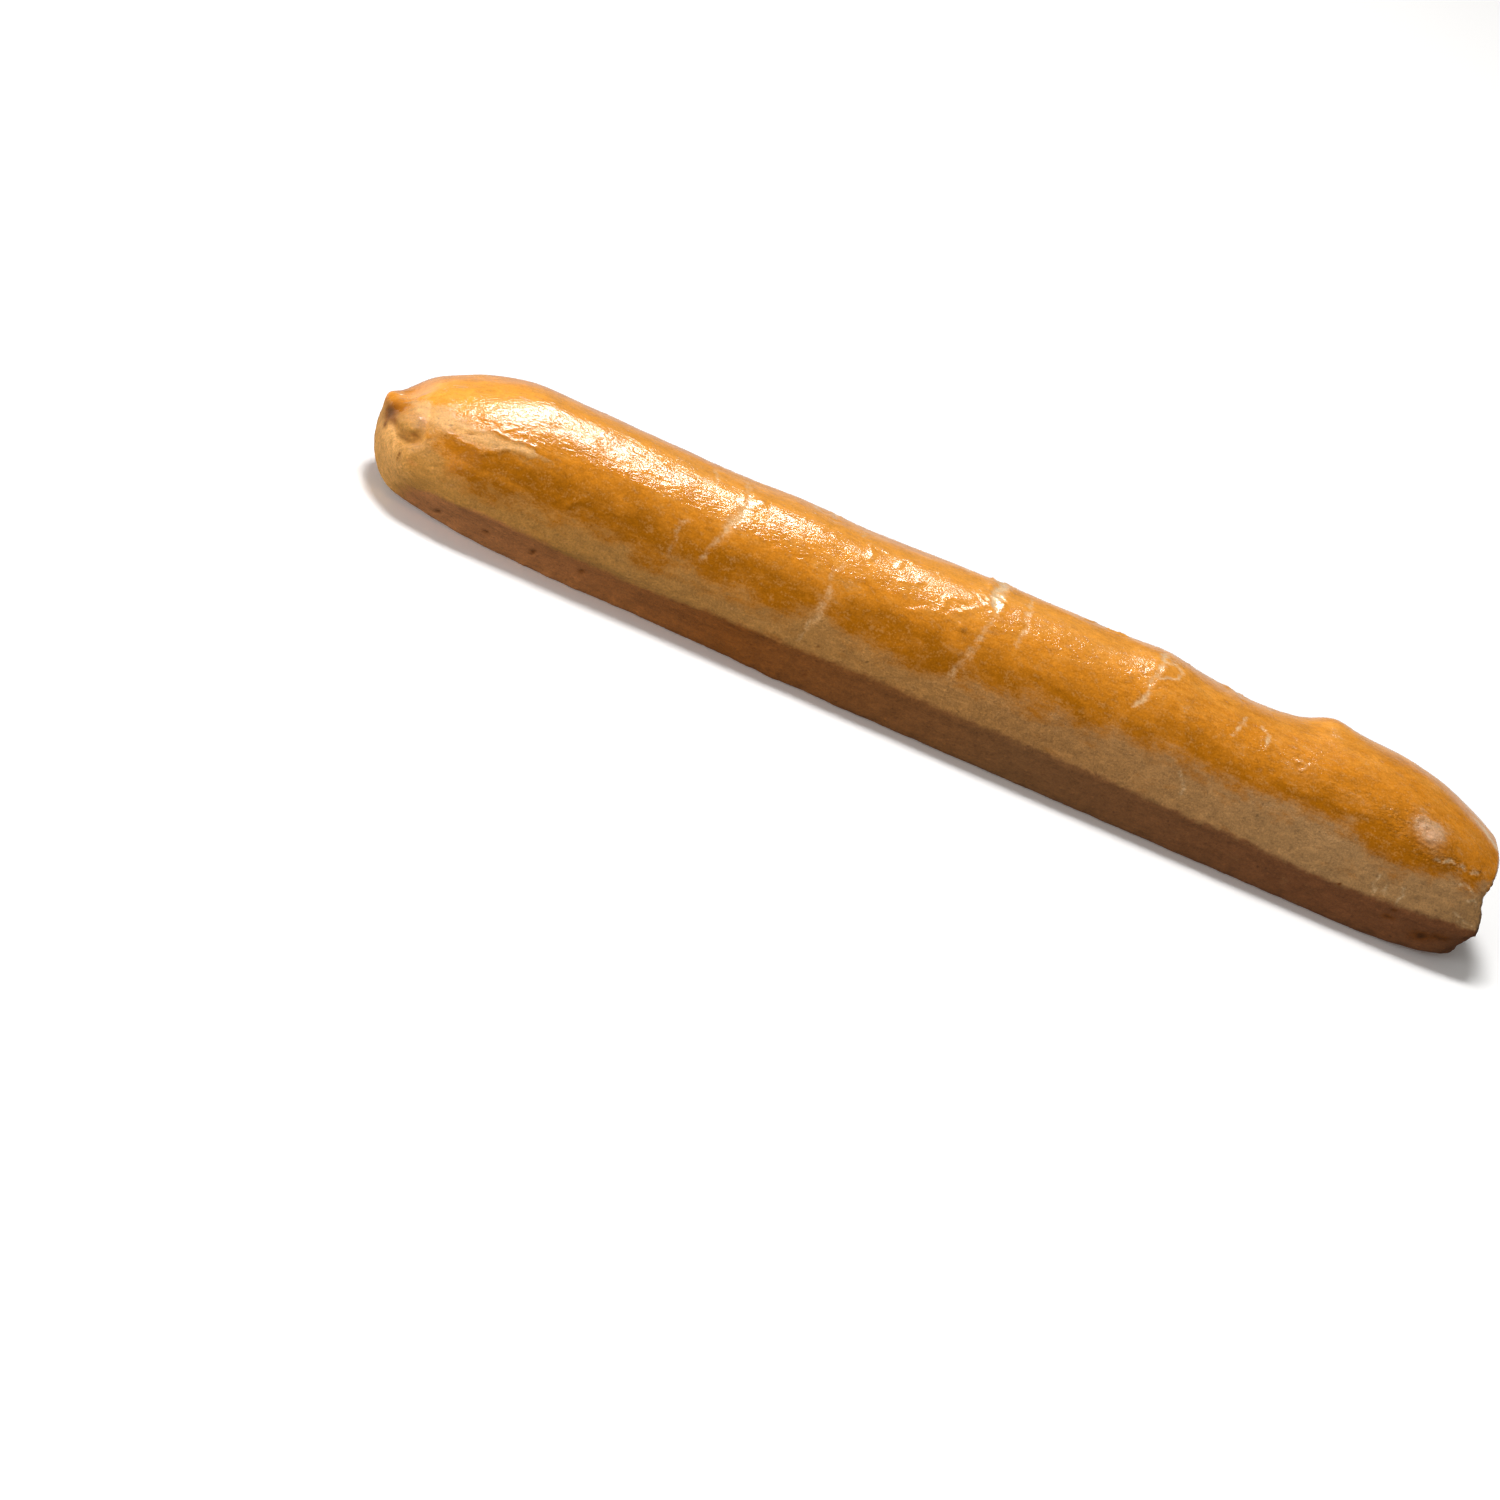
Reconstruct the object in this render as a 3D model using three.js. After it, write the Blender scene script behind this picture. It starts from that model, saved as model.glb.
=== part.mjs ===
// A whole almond pastry log: flaky pastry rolled round a filling, egg-washed and baked.
// It is uncut, so it is one solid. Its right end is folded under in a blunt face. At its
// left end the top sheet is pinched into a small ear over a lobe of dough, and a groove
// runs round the lobe.
//
// Millimetres, +X along the log, +Z up. The origin is on the table, under the middle of
// the log's outline.

import * as THREE from "three";
import { mergeVertices } from "three/addons/utils/BufferGeometryUtils.js";

// Driving dimensions of the plain log
const LENGTH = 299.6;
const WIDTH = 48; // at the crease, the widest level
const HEIGHT = 37.3; // of the crown over the table
const CREASE_HEIGHT = 10.5; // where the browned foot meets the pale side
const FLAT_WIDTH = 37.4; // of the base that lies on the table
const FOOT_CURL = { start: 2.7, widest: 1.6, drop: 5 }; // how the foot curves up to the crease
const DOME_FULLNESS = 2.2; // 2 is an ellipse, more is squarer

// Each end, by distance from its tip. An easing says how much it takes off at the tip,
// how far along the log it reaches, and how sharply it sets in.
const LEFT_END = {
  crownDrop: { amount: 14.9, reach: 35.2, power: 1.6 },
  sideTaper: { amount: 7.2, reach: 24, power: 2 },
  footRise: { amount: 2.4, reach: 38, power: 1.7 },
  footTuck: { amount: 14.7, reach: 60, power: 1.3 },
  nose: { length: 10.4, fullness: 2.2 },
  tipHeight: 14.5,
};
const RIGHT_END = {
  crownDrop: { amount: 10.1, reach: 33, power: 1.8 },
  sideTaper: { amount: 4, reach: 24, power: 1.8 },
  footRise: { amount: 3.5, reach: 33, power: 1.6 },
  footTuck: { amount: 2.6, reach: 12, power: 1.5 },
  nose: { length: 3.9, fullness: 2 },
  tipHeight: 12.9,
};

// Swells and dents: the centre, how far the push spreads, and the push itself
const SWELLS = [
  // The crown, from left to right
  { at: [-108, 0, 37], reach: [14, 20, 14], push: [0, 0, -0.2] },
  { at: [-68, 0, 37], reach: [22, 22, 14], push: [0, 0, -1.2] },
  { at: [-27, 0, 37], reach: [14, 20, 14], push: [0, 0, -0.8] },
  { at: [21, 0, 37], reach: [24, 20, 14], push: [0, 0, 0.8] },
  { at: [50, 0, 37], reach: [10, 16, 12], push: [0, 0, 1.8] },
  { at: [78, 2, 37], reach: [14, 22, 16], push: [0, 0, -1.6] },
  { at: [96.6, 8, 36], reach: [3.9, 14, 12], push: [0, 0.6, 2.3] },
  { at: [107, 4, 36], reach: [12, 16, 12], push: [0, 0, 1.4] },
  // The foot, slimmer towards the left
  { at: [-82, -22, 2], reach: [36, 10, 8], push: [0, 3.4, 0] },
  // The far side, which the roller's hand left wavy
  { at: [-84, 22, 20], reach: [24, 12, 16], push: [0, -1.1, 0] },
  { at: [-32, 22, 22], reach: [20, 12, 14], push: [0, 0.9, 0] },
  { at: [38, 23, 14], reach: [26, 12, 14], push: [0, -1.2, 0] },
  { at: [104, 22, 20], reach: [18, 12, 14], push: [0, 0.8, -0.3] },
  // The left end: the ear, the fold over it, the lobe of dough, and the sheet round the lobe
  { at: [-149.8, 3.1, 19.1], reach: [4, 5.4, 2.8], push: [-2.1, 0, 1.7] },
  { at: [-146, 4.8, 27.3], reach: [3.5, 10, 4.9], push: [0.3, 0, -3.2] },
  { at: [-145.2, -13, 21.2], reach: [4.2, 4.5, 4], push: [-0.7, -1, 0.4] },
  { at: [-144, -20, 16.5], reach: [3.5, 3.5, 3], push: [-0.2, -0.5, 0] },
  { at: [-137.5, -17.5, 25.5], reach: [5, 5, 5], push: [0, -0.5, 0.3] },
  // The right end: the blister, the notch in the face and the tucked corner
  { at: [128, -17, 28], reach: [6, 5, 5], push: [0, -0.7, 0.9] },
  { at: [149, -11, 19.2], reach: [5, 9, 4], push: [-4.1, 0, 0] },
  { at: [148, -16, 5], reach: [5, 8, 5], push: [-1.8, 1.2, 0.6] },
  { at: [149, 8, 20], reach: [6, 9, 6], push: [-0.4, 0, 0] },
];

// The groove round the lobe of the left end, from the ear's tip to the crown. It is
// deepest in the pit at the lobe's lower corner.
const GROOVE_WIDTH = 1.3;
const GROOVE = [
  { at: [-148.2, -9, 17.6], depth: 0.5 },
  { at: [-147, -12.2, 17.6], depth: 1.3 },
  { at: [-145.3, -15.6, 18.1], depth: 1.7 },
  { at: [-143.8, -17.9, 18.8], depth: 2.2 },
  { at: [-142.6, -18.6, 19.8], depth: 2.2 },
  { at: [-142.1, -16.8, 22], depth: 1.6 },
  { at: [-141.8, -13.6, 24.3], depth: 1.3 },
  { at: [-141.8, -9.5, 25.8], depth: 0.9 },
  { at: [-141, -5, 27.2], depth: 0.3 },
];
// The line inside the log that the groove cuts towards
const CORE = { endGap: 14, height: 16 };
const GRIP_HEIGHT = 4; // below this the table holds the log's surface down

// Mesh fineness
const BASE_STEPS = 2; // from the middle of the base to its edge
const FOOT_STEPS = 4;
const DOME_STEPS = 36;
const NOSE_STEPS = 14;
const SHOULDER = { length: 24, steps: 10 };
const MIDDLE_STEPS = 62;

/** What an easing takes off at a distance from the tip. */
function eased({ amount, reach, power }, distance) {
  return amount * Math.max(1 - distance / reach, 0) ** power;
}

/** A value raised to a power with its sign kept. */
function signedPower(value, power) {
  return Math.sign(value) * Math.abs(value) ** power;
}

/** The closed cross-section of the middle of the log, as [y, z] points, front side first. */
function sectionPoints() {
  const half = WIDTH / 2;
  const flat = FLAT_WIDTH / 2;
  const foot = new THREE.CubicBezierCurve(
    new THREE.Vector2(flat, 0),
    new THREE.Vector2(flat + FOOT_CURL.start, 0),
    new THREE.Vector2(half - FOOT_CURL.widest, CREASE_HEIGHT - FOOT_CURL.drop),
    new THREE.Vector2(half, CREASE_HEIGHT),
  );
  const back = [];
  for (let i = 1; i < BASE_STEPS; i++) back.push([(flat * i) / BASE_STEPS, 0]);
  for (let i = 0; i < FOOT_STEPS; i++) back.push(foot.getPoint(i / FOOT_STEPS).toArray());
  const front = back.map(([y, z]) => [-y, z]);

  const dome = [];
  for (let i = 0; i <= DOME_STEPS; i++) {
    const angle = (Math.PI * i) / DOME_STEPS;
    const y = -half * signedPower(Math.cos(angle), 2 / DOME_FULLNESS);
    const rise = (HEIGHT - CREASE_HEIGHT) * Math.sin(angle) ** (2 / DOME_FULLNESS);
    dome.push([y, CREASE_HEIGHT + rise]);
  }
  return [[0, 0], ...front, ...dome, ...back.reverse()];
}

/** Distances from the tip for the rings of one end, closest together at the tip. */
function endDistances({ nose }) {
  const distances = [];
  for (let i = 0; i < NOSE_STEPS; i++) {
    const angle = ((Math.PI / 2) * i) / NOSE_STEPS;
    distances.push(nose.length * (1 - Math.cos(angle) ** (2 / nose.fullness)));
  }
  for (let i = 0; i < SHOULDER.steps; i++) {
    distances.push(nose.length + (SHOULDER.length * i) / SHOULDER.steps);
  }
  return distances;
}

/** Places along X of all the rings, the two tips among them. */
function ringPlaces() {
  const half = LENGTH / 2;
  const left = endDistances(LEFT_END).map((distance) => distance - half);
  const right = endDistances(RIGHT_END).map((distance) => half - distance).reverse();
  const start = LEFT_END.nose.length + SHOULDER.length - half;
  const span = half - RIGHT_END.nose.length - SHOULDER.length - start;
  const middle = [];
  for (let i = 0; i <= MIDDLE_STEPS; i++) middle.push(start + (span * i) / MIDDLE_STEPS);
  return [...left, ...middle, ...right];
}

/** The point of the plain log at a place along it, for one point of the cross-section. */
function plainPoint(x, [y, z]) {
  const end = x < 0 ? LEFT_END : RIGHT_END;
  const distance = LENGTH / 2 - Math.abs(x);
  const half = WIDTH / 2;
  const narrowing = 1 - eased(end.sideTaper, distance) / half;
  const crown = HEIGHT - eased(end.crownDrop, distance);
  const floor = eased(end.footRise, distance);

  let height = floor + (z * (CREASE_HEIGHT - floor)) / CREASE_HEIGHT;
  if (z > CREASE_HEIGHT) {
    const share = (z - CREASE_HEIGHT) / (HEIGHT - CREASE_HEIGHT);
    height = CREASE_HEIGHT + share * (crown - CREASE_HEIGHT);
  }
  const below = Math.max(1 - z / CREASE_HEIGHT, 0);
  const tuck = 1 - (eased(end.footTuck, distance) / half) * below;

  const { length, fullness } = end.nose;
  const closing = (1 - Math.max(1 - distance / length, 0) ** fullness) ** (1 / fullness);
  return new THREE.Vector3(
    x,
    y * narrowing * tuck * closing,
    end.tipHeight + (height - end.tipHeight) * closing,
  );
}

/** Moves a point of the plain log by every swell and dent near it. */
function swollen(point) {
  const moved = point.clone();
  const grip = Math.min(point.z / GRIP_HEIGHT, 1);
  for (const { at, reach, push } of SWELLS) {
    const away = point.clone().sub(new THREE.Vector3(...at)).divide(new THREE.Vector3(...reach));
    const share = Math.exp(-away.lengthSq());
    moved.add(new THREE.Vector3(push[0], push[1], push[2] * grip).multiplyScalar(share));
  }
  return moved;
}

/** How deep the groove is at a point of the log. */
function grooveDepth(point) {
  let deepest = 0;
  for (let i = 1; i < GROOVE.length; i++) {
    const stretch = new THREE.Line3(
      new THREE.Vector3(...GROOVE[i - 1].at),
      new THREE.Vector3(...GROOVE[i].at),
    );
    const share = stretch.closestPointToPointParameter(point, true);
    const depth = THREE.MathUtils.lerp(GROOVE[i - 1].depth, GROOVE[i].depth, share);
    const away = stretch.at(share, new THREE.Vector3()).distanceTo(point) / GROOVE_WIDTH;
    deepest = Math.max(deepest, depth * Math.exp(-away * away));
  }
  return deepest;
}

/** Moves a point towards the core by the depth of the groove there. */
function grooved(point) {
  const end = LENGTH / 2 - CORE.endGap;
  const core = new THREE.Vector3(THREE.MathUtils.clamp(point.x, -end, end), 0, CORE.height);
  const inward = core.sub(point).normalize();
  return point.clone().addScaledVector(inward, grooveDepth(point));
}

/**
 * The log's closed surface. A sphere's grid of rings and columns is laid over it, with the
 * sphere's poles at the two tips.
 */
function logGeometry() {
  const section = sectionPoints();
  const places = ringPlaces();
  const columns = section.length;
  const rows = places.length - 1;
  const geometry = new THREE.SphereGeometry(1, columns, rows);
  const position = geometry.attributes.position;
  for (let row = 0; row <= rows; row++) {
    for (let column = 0; column <= columns; column++) {
      const point = grooved(swollen(plainPoint(places[row], section[column % columns])));
      position.setXYZ(row * (columns + 1) + column, point.x, point.y, point.z);
    }
  }
  geometry.deleteAttribute("normal");
  geometry.deleteAttribute("uv");
  const closed = mergeVertices(geometry);
  closed.computeBoundingBox();
  const middle = closed.boundingBox.getCenter(new THREE.Vector3());
  closed.translate(-middle.x, -middle.y, -closed.boundingBox.min.z);
  closed.computeVertexNormals();
  return closed;
}

const crust = new THREE.MeshStandardMaterial({
  color: "#c98a3c", // egg-washed, baked golden brown
  roughness: 0.45,
  metalness: 0,
});

const pastryLog = new THREE.Mesh(logGeometry(), crust);
pastryLog.name = "pastry_log";

const model = new THREE.Group();
model.add(pastryLog);

export default model;
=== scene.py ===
"""An almond pastry log: puff pastry rolled round a filling, egg-washed and baked.

The log is one piece. Its form follows the same sizes as the solid in the frame, at a finer
mesh, and the crust's relief is worked out on the unrolled skin: how far along the log a
point lies, and how far round it from the crown. Sizes are millimetres until a mesh is made.
"""

import logging
import math
from collections.abc import Callable
from dataclasses import dataclass, field
from enum import Enum
from functools import partial

import bpy
import numpy as np
from mathutils import Matrix, Vector

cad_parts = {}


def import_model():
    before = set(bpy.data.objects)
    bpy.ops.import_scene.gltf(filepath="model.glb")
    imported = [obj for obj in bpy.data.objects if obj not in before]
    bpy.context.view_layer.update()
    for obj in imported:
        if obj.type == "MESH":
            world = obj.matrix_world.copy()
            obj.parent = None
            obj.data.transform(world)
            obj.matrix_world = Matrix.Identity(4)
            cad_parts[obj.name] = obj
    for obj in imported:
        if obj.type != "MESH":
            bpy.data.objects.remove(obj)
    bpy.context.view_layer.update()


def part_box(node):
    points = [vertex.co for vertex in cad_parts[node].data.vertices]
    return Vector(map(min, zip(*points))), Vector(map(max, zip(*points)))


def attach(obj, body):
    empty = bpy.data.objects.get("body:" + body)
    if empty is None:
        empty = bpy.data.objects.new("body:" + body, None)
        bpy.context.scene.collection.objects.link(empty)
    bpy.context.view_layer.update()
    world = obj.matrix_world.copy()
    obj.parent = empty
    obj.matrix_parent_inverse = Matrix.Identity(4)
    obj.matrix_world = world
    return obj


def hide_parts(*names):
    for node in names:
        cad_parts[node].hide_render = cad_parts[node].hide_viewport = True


LOG = logging.getLogger("almond_pastry_log")
NODE = "pastry_log"
BODY = "root"
MM = 0.001  # metres in a millimetre
PICTURE = 1500  # pixels along each side of the picture
# what the material reads at each point of the crust
LAYERS = ("glaze", "bake", "bare", "crinkle", "crack", "foot", "char", "blister")

Pair = tuple[float, float]
Triple = tuple[float, float, float]


# ---------------------------------------------------------------- shared helpers


def linear(code: str, alpha: float = 1.0) -> tuple[float, float, float, float]:
    """Turns an sRGB hex colour to the linear values that Blender's sockets take.

    Args:
        code: The colour as "#rrggbb".
        alpha: The fourth value.

    Returns:
        Red, green, blue and alpha.
    """
    shares = [int(code[i : i + 2], 16) / 255 for i in (1, 3, 5)]
    values = [s / 12.92 if s <= 0.04045 else ((s + 0.055) / 1.055) ** 2.4 for s in shares]
    return (values[0], values[1], values[2], alpha)


def add_node(
    tree: bpy.types.NodeTree, kind: str, inputs: dict | None = None, **settings
) -> bpy.types.Node:
    """Adds a node with its settings, plain inputs and links.

    Args:
        tree: The tree that gets the node.
        kind: The node's type name.
        inputs: Socket names or numbers, each with a value or with the socket that feeds it.
        **settings: The node's own properties.

    Returns:
        The new node.
    """
    node = tree.nodes.new(kind)
    for name, value in settings.items():
        setattr(node, name, value)
    for key, value in (inputs or {}).items():
        if isinstance(value, bpy.types.NodeSocket):
            tree.links.new(value, node.inputs[key])
        else:
            node.inputs[key].default_value = value
    return node


def weighted(tree: bpy.types.NodeTree, terms: dict, base: float = 0.0) -> bpy.types.NodeSocket:
    """Adds up sockets, each times its weight, on top of a base value.

    Args:
        tree: The tree that gets the nodes.
        terms: Sockets, each with a number or a socket that it is multiplied by.
        base: What the sum starts from.

    Returns:
        The sum's socket.
    """
    total = base
    for value, weight in terms.items():
        inputs = {0: value, 1: weight, 2: total}
        total = add_node(tree, "ShaderNodeMath", inputs, operation="MULTIPLY_ADD").outputs[0]
    return total


def bell(distance: np.ndarray, reach: float = 1.0) -> np.ndarray:
    """A smooth hump of height 1 that is spent at about twice its reach."""
    return np.exp(-((distance / reach) ** 2))


def smooth_step(value: np.ndarray, low: float, high: float) -> np.ndarray:
    """0 below low, 1 above high, and an S-curve between them."""
    share = np.clip((value - low) / (high - low), 0, 1)
    return share * share * (3 - 2 * share)


def along_stops(along: np.ndarray, stops: tuple[Pair, ...]) -> np.ndarray:
    """Reads a line of (place, value) stops at each place, straight between stops."""
    places, values = zip(*stops)
    return np.interp(along, places, values)


def wander(along: np.ndarray, girth: np.ndarray, size: float, seed: int) -> np.ndarray:
    """Smooth noise of about -1 to 1 on the skin, made of waves that run every way.

    Args:
        along: Places along the log.
        girth: Places round the log.
        size: The usual length of a wave.
        seed: Picks the waves.

    Returns:
        The noise at each place.
    """
    chosen = np.random.default_rng(seed)
    total = np.zeros_like(along)
    waves = 12
    for _ in range(waves):
        angle, start = chosen.uniform(0, math.tau, 2)
        rate = math.tau / (size * chosen.uniform(0.6, 1.8))
        total += np.sin(rate * (along * math.cos(angle) + girth * math.sin(angle)) + start)
    return total / math.sqrt(2 * waves)


def path_reading(
    along: np.ndarray, girth: np.ndarray, path: tuple[Triple, ...]
) -> tuple[np.ndarray, np.ndarray]:
    """Measures the skin against a path drawn on it.

    Args:
        along: Places along the log.
        girth: Places round the log.
        path: Stops of (along, girth, width).

    Returns:
        The distance to the path, and the path's width at the nearest place.
    """
    nearest = np.full(along.shape, 1e9)
    width = np.ones(along.shape)
    for (x0, g0, w0), (x1, g1, w1) in zip(path[:-1], path[1:]):
        dx, dg = x1 - x0, g1 - g0
        share = ((along - x0) * dx + (girth - g0) * dg) / (dx * dx + dg * dg)
        share = np.clip(share, 0, 1)
        away = np.hypot(along - x0 - share * dx, girth - g0 - share * dg)
        closer = away < nearest
        nearest = np.where(closer, away, nearest)
        width = np.where(closer, w0 + share * (w1 - w0), width)
    return nearest, width


# ---------------------------------------------------------------- the log's form


@dataclass(frozen=True)
class Easing:
    """What is taken off near a tip: how much, how far along, and how sharply it sets in."""

    amount: float
    reach: float
    power: float

    def at(self, distance: np.ndarray) -> np.ndarray:
        """What is taken off at a distance from the tip."""
        return self.amount * np.clip(1 - distance / self.reach, 0, 1) ** self.power


@dataclass(frozen=True)
class LogEnd:
    """One end of the log, by distance from its tip."""

    crown_drop: Easing
    side_taper: Easing
    foot_rise: Easing
    foot_tuck: Easing
    nose_length: float
    nose_fullness: float
    tip_height: float

    def closing(self, distance: np.ndarray) -> np.ndarray:
        """How far the section is open: 0 at the tip, 1 past the nose."""
        share = np.clip(1 - distance / self.nose_length, 0, 1)
        return (1 - share**self.nose_fullness) ** (1 / self.nose_fullness)


@dataclass(frozen=True)
class Patch:
    """A mark by its place on the log: its centre, how far it spreads, and how strong it is.

    A swell's strength is the push that it gives, each way. A knob's is its height.
    """

    at: Triple
    reach: Triple | float
    strength: Triple | float

    def share(self, points: np.ndarray) -> np.ndarray:
        """How much of its strength each point gets."""
        return bell(np.linalg.norm((points - self.at) / np.array(self.reach), axis=-1))


@dataclass(frozen=True)
class Skin:
    """The unrolled skin: where each point of the mesh lies, and what was made of it."""

    along: np.ndarray
    girth: np.ndarray
    points: np.ndarray
    opened: np.ndarray  # 0 at the tips, 1 past the noses


@dataclass
class LogForm:
    """The log's form at its real size, the same as the solid's."""

    length: float = 299.6
    width: float = 48.0
    height: float = 37.3
    crease_height: float = 10.5
    flat_width: float = 37.4
    foot_start: float = 2.7
    foot_widest: float = 1.6
    foot_drop: float = 5.0
    dome_fullness: float = 2.2
    grip_height: float = 4.0
    left: LogEnd = LogEnd(
        crown_drop=Easing(14.9, 35.2, 1.6),
        side_taper=Easing(7.2, 24, 2),
        foot_rise=Easing(2.4, 38, 1.7),
        foot_tuck=Easing(14.7, 60, 1.3),
        nose_length=10.4,
        nose_fullness=2.2,
        tip_height=14.5,
    )
    right: LogEnd = LogEnd(
        crown_drop=Easing(10.1, 33, 1.8),
        side_taper=Easing(4, 24, 1.8),
        foot_rise=Easing(3.5, 33, 1.6),
        foot_tuck=Easing(2.6, 12, 1.5),
        nose_length=3.9,
        nose_fullness=2,
        tip_height=12.9,
    )
    swells: tuple[Patch, ...] = (
        # the crown, from left to right
        Patch((-108, 0, 37), (14, 20, 14), (0, 0, -0.2)),
        Patch((-68, 0, 37), (22, 22, 14), (0, 0, -1.2)),
        Patch((-27, 0, 37), (14, 20, 14), (0, 0, -0.8)),
        Patch((21, 0, 37), (24, 20, 14), (0, 0, 0.8)),
        Patch((50, 0, 37), (10, 16, 12), (0, 0, 1.8)),
        Patch((78, 2, 37), (14, 22, 16), (0, 0, -1.6)),
        Patch((97.6, 12.5, 36), (5.6, 12, 12), (0, 0.4, 2.0)),
        Patch((107, 4, 36), (12, 16, 12), (0, 0, 1.4)),
        # the foot, slimmer towards the left
        Patch((-82, -22, 2), (36, 10, 8), (0, 3.4, 0)),
        # the wavy far side
        Patch((-84, 22, 20), (24, 12, 16), (0, -1.1, 0)),
        Patch((-32, 22, 22), (20, 12, 14), (0, 0.9, 0)),
        Patch((38, 23, 14), (26, 12, 14), (0, -1.2, 0)),
        Patch((104, 22, 20), (18, 12, 14), (0, 0.8, -0.3)),
        # the left end: the ear, the fold over it, the lobe, and the sheet round the lobe
        Patch((-149.8, 3.1, 19.1), (4, 5.4, 2.8), (-2.1, 0, 1.7)),
        Patch((-146, 4.8, 27.3), (3.5, 10, 4.9), (0.3, 0, -3.2)),
        Patch((-145.2, -13, 21.2), (4.2, 4.5, 4), (-0.7, -1, 0.4)),
        Patch((-144, -20, 16.5), (3.5, 3.5, 3), (-0.2, -0.5, 0)),
        Patch((-137.5, -17.5, 25.5), (5, 5, 5), (0, -0.5, 0.3)),
        # the right end: the blister, the notch in the face and the tucked corner
        Patch((128, -17, 28), (6, 5, 5), (0, -0.7, 0.9)),
        Patch((149, -11, 19.2), (5, 9, 4), (-4.1, 0, 0)),
        Patch((148, -16, 5), (5, 8, 5), (-1.8, 1.2, 0.6)),
        Patch((149, 8, 20), (6, 9, 6), (-0.4, 0, 0)),
    )
    groove_width: float = 1.3
    groove: tuple[tuple[Triple, float], ...] = (
        ((-148.2, -9, 17.6), 0.5),
        ((-147, -12.2, 17.6), 1.3),
        ((-145.3, -15.6, 18.1), 1.7),
        ((-143.8, -17.9, 18.8), 2.2),
        ((-142.6, -18.6, 19.8), 2.2),
        ((-142.1, -16.8, 22), 1.6),
        ((-141.8, -13.6, 24.3), 1.3),
        ((-141.8, -9.5, 25.8), 0.9),
        ((-141, -5, 27.2), 0.3),
    )
    soft_girth: float = 41.0
    soft_reach: float = 6.0
    soft_from: Pair = (124, 138)
    soft_rounds: int = 60
    core_end_gap: float = 14.0
    core_height: float = 16.0
    # mesh fineness
    base_steps: int = 5
    foot_steps: int = 17
    dome_steps: int = 156
    nose_steps: int = 26
    middle_steps: int = 418

    def section(self) -> np.ndarray:
        """The closed cross-section of the middle of the log, front side first.

        Returns:
            The points across and up, in millimetres.
        """
        half, flat = self.width / 2, self.flat_width / 2
        share = np.arange(self.foot_steps)[:, None] / self.foot_steps
        widest = half - self.foot_widest
        across = (flat, flat + self.foot_start, widest, half)
        heights = (0, 0, self.crease_height - self.foot_drop, self.crease_height)
        order = np.arange(4)
        weights = (1, 3, 3, 1) * share**order * (1 - share) ** (3 - order)
        base = [(flat * i / self.base_steps, 0.0) for i in range(1, self.base_steps)]
        back = np.vstack([np.array(base), weights @ np.stack([across, heights], axis=1)])
        angle = np.pi * np.arange(self.dome_steps + 1) / self.dome_steps
        power = 2 / self.dome_fullness
        across = -half * np.sign(np.cos(angle)) * np.abs(np.cos(angle)) ** power
        rise = (self.height - self.crease_height) * np.clip(np.sin(angle), 0, 1) ** power
        dome = np.stack([across, self.crease_height + rise], axis=1)
        return np.vstack([[(0.0, 0.0)], back * (-1, 1), dome, back[::-1]])

    def girths(self, section: np.ndarray) -> np.ndarray:
        """How far round from the crown each point of the section lies, front side positive.

        Args:
            section: The section's points.

        Returns:
            One length for each point.
        """
        steps = np.hypot(*np.diff(np.vstack([section, section[:1]]), axis=0).T)
        run = np.concatenate([[0], np.cumsum(steps)])[:-1]
        return run[np.argmax(section[:, 1])] - run

    def places(self) -> np.ndarray:
        """Places along the log of all the rings, closest together at the tips.

        Returns:
            The places, from the left tip to the right.
        """
        half = self.length / 2
        angle = np.pi / 2 * np.arange(self.nose_steps) / self.nose_steps
        noses = [
            end.nose_length * (1 - np.cos(angle) ** (2 / end.nose_fullness))
            for end in (self.left, self.right)
        ]
        start, stop = self.left.nose_length - half, half - self.right.nose_length
        middle = np.linspace(start, stop, self.middle_steps + 1)
        return np.concatenate([noses[0] - half, middle, (half - noses[1])[::-1]])

    def of_end(self, places: np.ndarray, read: Callable) -> np.ndarray:
        """Reads each place by its own end, at its distance from that end's tip."""
        distance = self.length / 2 - np.abs(places)
        return np.where(places < 0, read(self.left, distance), read(self.right, distance))

    def plain(self, places: np.ndarray, section: np.ndarray) -> np.ndarray:
        """The plain log, before its swells: one ring of points for each place.

        Args:
            places: Places along the log.
            section: The section's points.

        Returns:
            The points, by ring and by place round it.
        """
        x = places[:, None]
        y, z = section[None, :, 0], section[None, :, 1]
        half, crease = self.width / 2, self.crease_height
        narrowing = 1 - self.of_end(x, lambda end, away: end.side_taper.at(away)) / half
        crown = self.height - self.of_end(x, lambda end, away: end.crown_drop.at(away))
        floor = self.of_end(x, lambda end, away: end.foot_rise.at(away))
        lower = floor + z * (crease - floor) / crease
        upper = crease + (z - crease) / (self.height - crease) * (crown - crease)
        height = np.where(z > crease, upper, lower)
        below = np.clip(1 - z / crease, 0, None)
        tuck = 1 - self.of_end(x, lambda end, away: end.foot_tuck.at(away)) / half * below
        closing = self.of_end(x, LogEnd.closing)
        tip = np.where(x < 0, self.left.tip_height, self.right.tip_height)
        return np.stack(
            np.broadcast_arrays(x, y * narrowing * tuck * closing, tip + (height - tip) * closing),
            axis=-1,
        ).copy()

    def swollen(self, points: np.ndarray) -> np.ndarray:
        """Moves the plain log by every swell and dent. The table holds its base down.

        Args:
            points: The plain log's points.

        Returns:
            The moved points.
        """
        grip = np.clip(points[..., 2] / self.grip_height, 0, 1)
        moved = points.copy()
        hold = np.stack([np.ones_like(grip), np.ones_like(grip), grip], axis=-1)
        for swell in self.swells:
            moved += swell.share(points)[..., None] * swell.strength * hold
        return moved

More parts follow.
